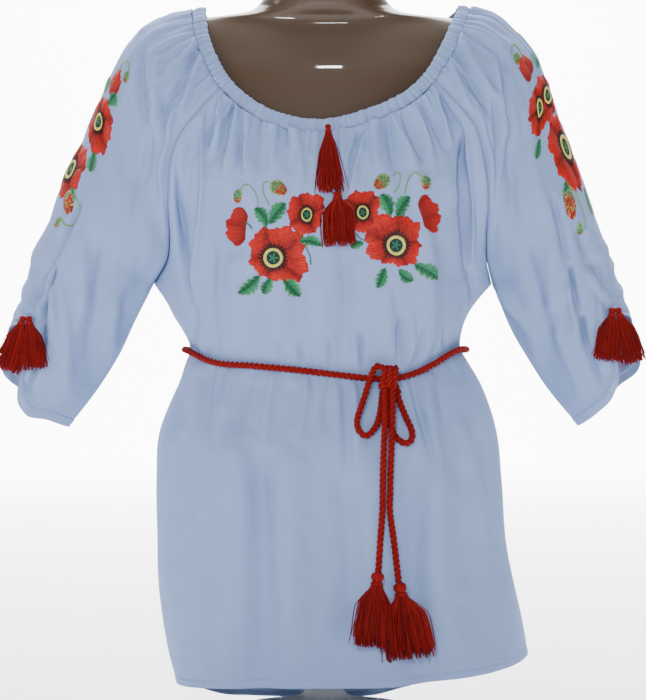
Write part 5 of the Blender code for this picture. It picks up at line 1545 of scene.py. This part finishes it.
class BLOUSE_OT_form(BlouseStep):
    """Limbless dress form in smooth lacquer, and its pale foot."""
    bl_idname = "blouse.form"
    bl_label = "Dress form"

    def build(self, look):
        """Rings every few millimetres, closer at the foot and over the top edge."""
        brown = material("form_lacquer", tuple(look.form_colour), 0.5, coat=0.35, gloss=0.3)
        pale = material("foot_paint", tuple(look.foot_colour), 0.45)
        z = np.unique(np.concatenate([np.linspace(79, 735, 180), np.linspace(735, 798, 60),
                                      np.linspace(798, 800, 8)]))
        self.solid("dress_form_lacquer", FORM, z, FORM_POWER, brown, "form", "dress_form")
        foot = [(z0, a, b, b) for z0, a, b in FOOT]
        z = np.unique(np.concatenate([np.linspace(0, 20, 60), np.linspace(20, 78.6, 60)]))
        self.solid("form_foot_paint", foot, z, 2.0, pale, "foot", "form_foot")

    def solid(self, name, table, z, power, mat, slot, node):
        """Stacked superellipse rings: x a power of the cosine, y of the sine, front and back deep apart."""
        values = smooth(table, z)
        angle = np.arange(120) * 2 * math.pi / 120
        c, s = np.cos(angle), np.sin(angle)
        x = FORM_X + values[:, :1] * np.sign(c) * np.abs(c) ** (2 / power)
        depth = np.where(s < 0, values[:, 1:2], values[:, 2:3])
        y = depth * np.sign(s) * np.abs(s) ** (2 / power)
        rings = np.stack([x, y, np.broadcast_to(z[:, None], x.shape)], -1)
        caps = []
        for edge, reach in ((rings[0], np.linspace(0.0, 0.97, 10)), (rings[-1], np.linspace(0.97, 0.0, 10))):
            centre = np.array([FORM_X, 0.0, edge[0, 2]])
            caps.append(centre + (edge - centre) * reach[:, None, None])
        rings = np.concatenate([caps[0], rings, caps[1]])
        verts = rings.reshape(-1, 3)
        quads = grid_faces(len(rings), 120, close_cols=True)
        quads = turned_out(verts, quads, np.array([FORM_X, 0, z.mean()]))
        make_piece(name, verts, quads, mat, nodes=(node,), weld=True)


# Stage, in metres.  columns of the lights: name, place, target, size, power
MIDDLE = (0.0, 0.0, 0.42)
LIGHTS = (
    ("light_key", (-0.45, -3.3, 1.25), MIDDLE, (0.28, 0.28), 70),
    ("light_fill", (0.75, -3.2, 1.0), MIDDLE, (0.25, 0.25), 20),
    ("light_side", (-2.4, -0.9, 1.7), MIDDLE, (0.8, 0.8), 17),
    ("light_top", (0.04, -1.2, 2.9), (0.0, 0.0, 0.5), (0.16, 0.12), 16),
    ("light_back", (0.0, 6.6, 4.8), (0.0, 10.0, 1.2), (6.0, 1.5), 3300),
    ("light_floor", (0.0, 2.5, 3.6), (0.0, 1.8, 0.0), (5.0, 3.4), 900),
)
SKY_COLOUR, SKY_STRENGTH = (0.84, 0.91, 1.0, 1.0), 0.19
CAMERA_PLACE = (0.0025, -3.6, 0.3854)
SENSOR = 36.0           # millimetres
VIEW_LONG = 0.742       # metres seen along the picture's longer side, at the middle of the form
SWEEP_HALF = 9.0        # half width of the floor
SWEEP_BEND = (8.0, 2.0)        # where the floor starts to rise, and the radius of its bend
SWEEP_TOP = 8.0


def area_light(name, place, target, size, power):
    """Soft rectangular light aimed at a point."""
    data = bpy.data.lights.new(name, "AREA")
    data.shape = "RECTANGLE"
    data.size, data.size_y = size
    data.energy = power
    lamp = bpy.data.objects.new(name, data)
    lamp.location = place
    bpy.context.scene.collection.objects.link(lamp)
    lamp.rotation_euler = (Vector(target) - Vector(place)).to_track_quat("-Z", "Y").to_euler()


class BLOUSE_OT_stage(BlouseStep):
    """Pale floor and sweep, soft studio lights and the camera."""
    bl_idname = "blouse.stage"
    bl_label = "Stage"

    def build(self, look):
        """Level floor, a quarter turn up and a wall behind; then the lights, sky and camera."""
        start, bend = SWEEP_BEND
        turn = np.linspace(0, 1, 60) * math.pi / 2
        run = np.concatenate([[-SWEEP_HALF], np.linspace(-8.9, start, 20), start + bend * np.sin(turn),
                              [start + bend]])
        rise = np.concatenate([np.zeros(21), bend * (1 - np.cos(turn)), [SWEEP_TOP]]) - 0.0005
        y, x = np.meshgrid(run, np.linspace(-SWEEP_HALF, SWEEP_HALF, 3), indexing="ij")
        pts = np.stack([x, y, np.broadcast_to(rise[:, None], x.shape)], -1).reshape(-1, 3)
        mesh = bpy.data.meshes.new("floor")
        mesh.from_pydata(pts.tolist(), [], grid_faces(len(run), 3)[:, ::-1].tolist())
        mesh.polygons.foreach_set("use_smooth", np.ones(len(mesh.polygons), dtype=bool))
        floor = bpy.data.objects.new("floor", mesh)
        bpy.context.scene.collection.objects.link(floor)
        mesh.materials.append(material("pale_sweep", (0.92, 0.92, 0.92), 0.9))
        for name, place, target, size, power in LIGHTS:
            area_light(name, place, target, size, power * look.light)
        world = bpy.data.worlds.new("studio")
        world.use_nodes = True
        sky = world.node_tree.nodes["Background"]
        sky.inputs["Color"].default_value = SKY_COLOUR
        sky.inputs["Strength"].default_value = SKY_STRENGTH * look.light
        bpy.context.scene.world = world
        data = bpy.data.cameras.new("camera")
        data.sensor_width = SENSOR
        data.lens = SENSOR * -CAMERA_PLACE[1] / VIEW_LONG
        data.clip_end = 50.0
        camera = bpy.data.objects.new("camera", data)
        camera.location = CAMERA_PLACE
        camera.rotation_euler = (math.pi / 2, 0.0, 0.0)
        bpy.context.scene.collection.objects.link(camera)
        bpy.context.scene.camera = camera


class BLOUSE_PT_panel(bpy.types.Panel):
    """Sidebar with the sizes and the steps."""
    bl_idname = "BLOUSE_PT_panel"
    bl_label = "Embroidered blouse"
    bl_space_type = "VIEW_3D"
    bl_region_type = "UI"
    bl_category = "Blouse"

    def draw(self, context):
        """The sizes first, then a button for each step."""
        look = context.scene.blouse_look
        for name in BlouseLook.__annotations__:
            self.layout.prop(look, name)
        for step in STEPS:
            self.layout.operator(step.bl_idname)


STEPS = (BLOUSE_OT_form, BLOUSE_OT_body, BLOUSE_OT_sleeves, BLOUSE_OT_band, BLOUSE_OT_embroidery,
         BLOUSE_OT_belt, BLOUSE_OT_tassels, BLOUSE_OT_stage)
CLASSES = (BlouseLook,) + STEPS + (BLOUSE_PT_panel,)


def register():
    """Add the classes and the scene's sizes."""
    for item in CLASSES:
        bpy.utils.register_class(item)
    bpy.types.Scene.blouse_look = PointerProperty(type=BlouseLook)


def unregister():
    """Take the sizes and the classes away, last first."""
    del bpy.types.Scene.blouse_look
    for item in reversed(CLASSES):
        bpy.utils.unregister_class(item)


def main():
    """Run each step in turn."""
    register()
    bpy.ops.blouse.form()
    bpy.ops.blouse.body()
    bpy.ops.blouse.sleeves()
    bpy.ops.blouse.band()
    bpy.ops.blouse.embroidery()
    bpy.ops.blouse.belt()
    bpy.ops.blouse.tassels()
    bpy.ops.blouse.stage()


if __name__ == "__main__":
    main()
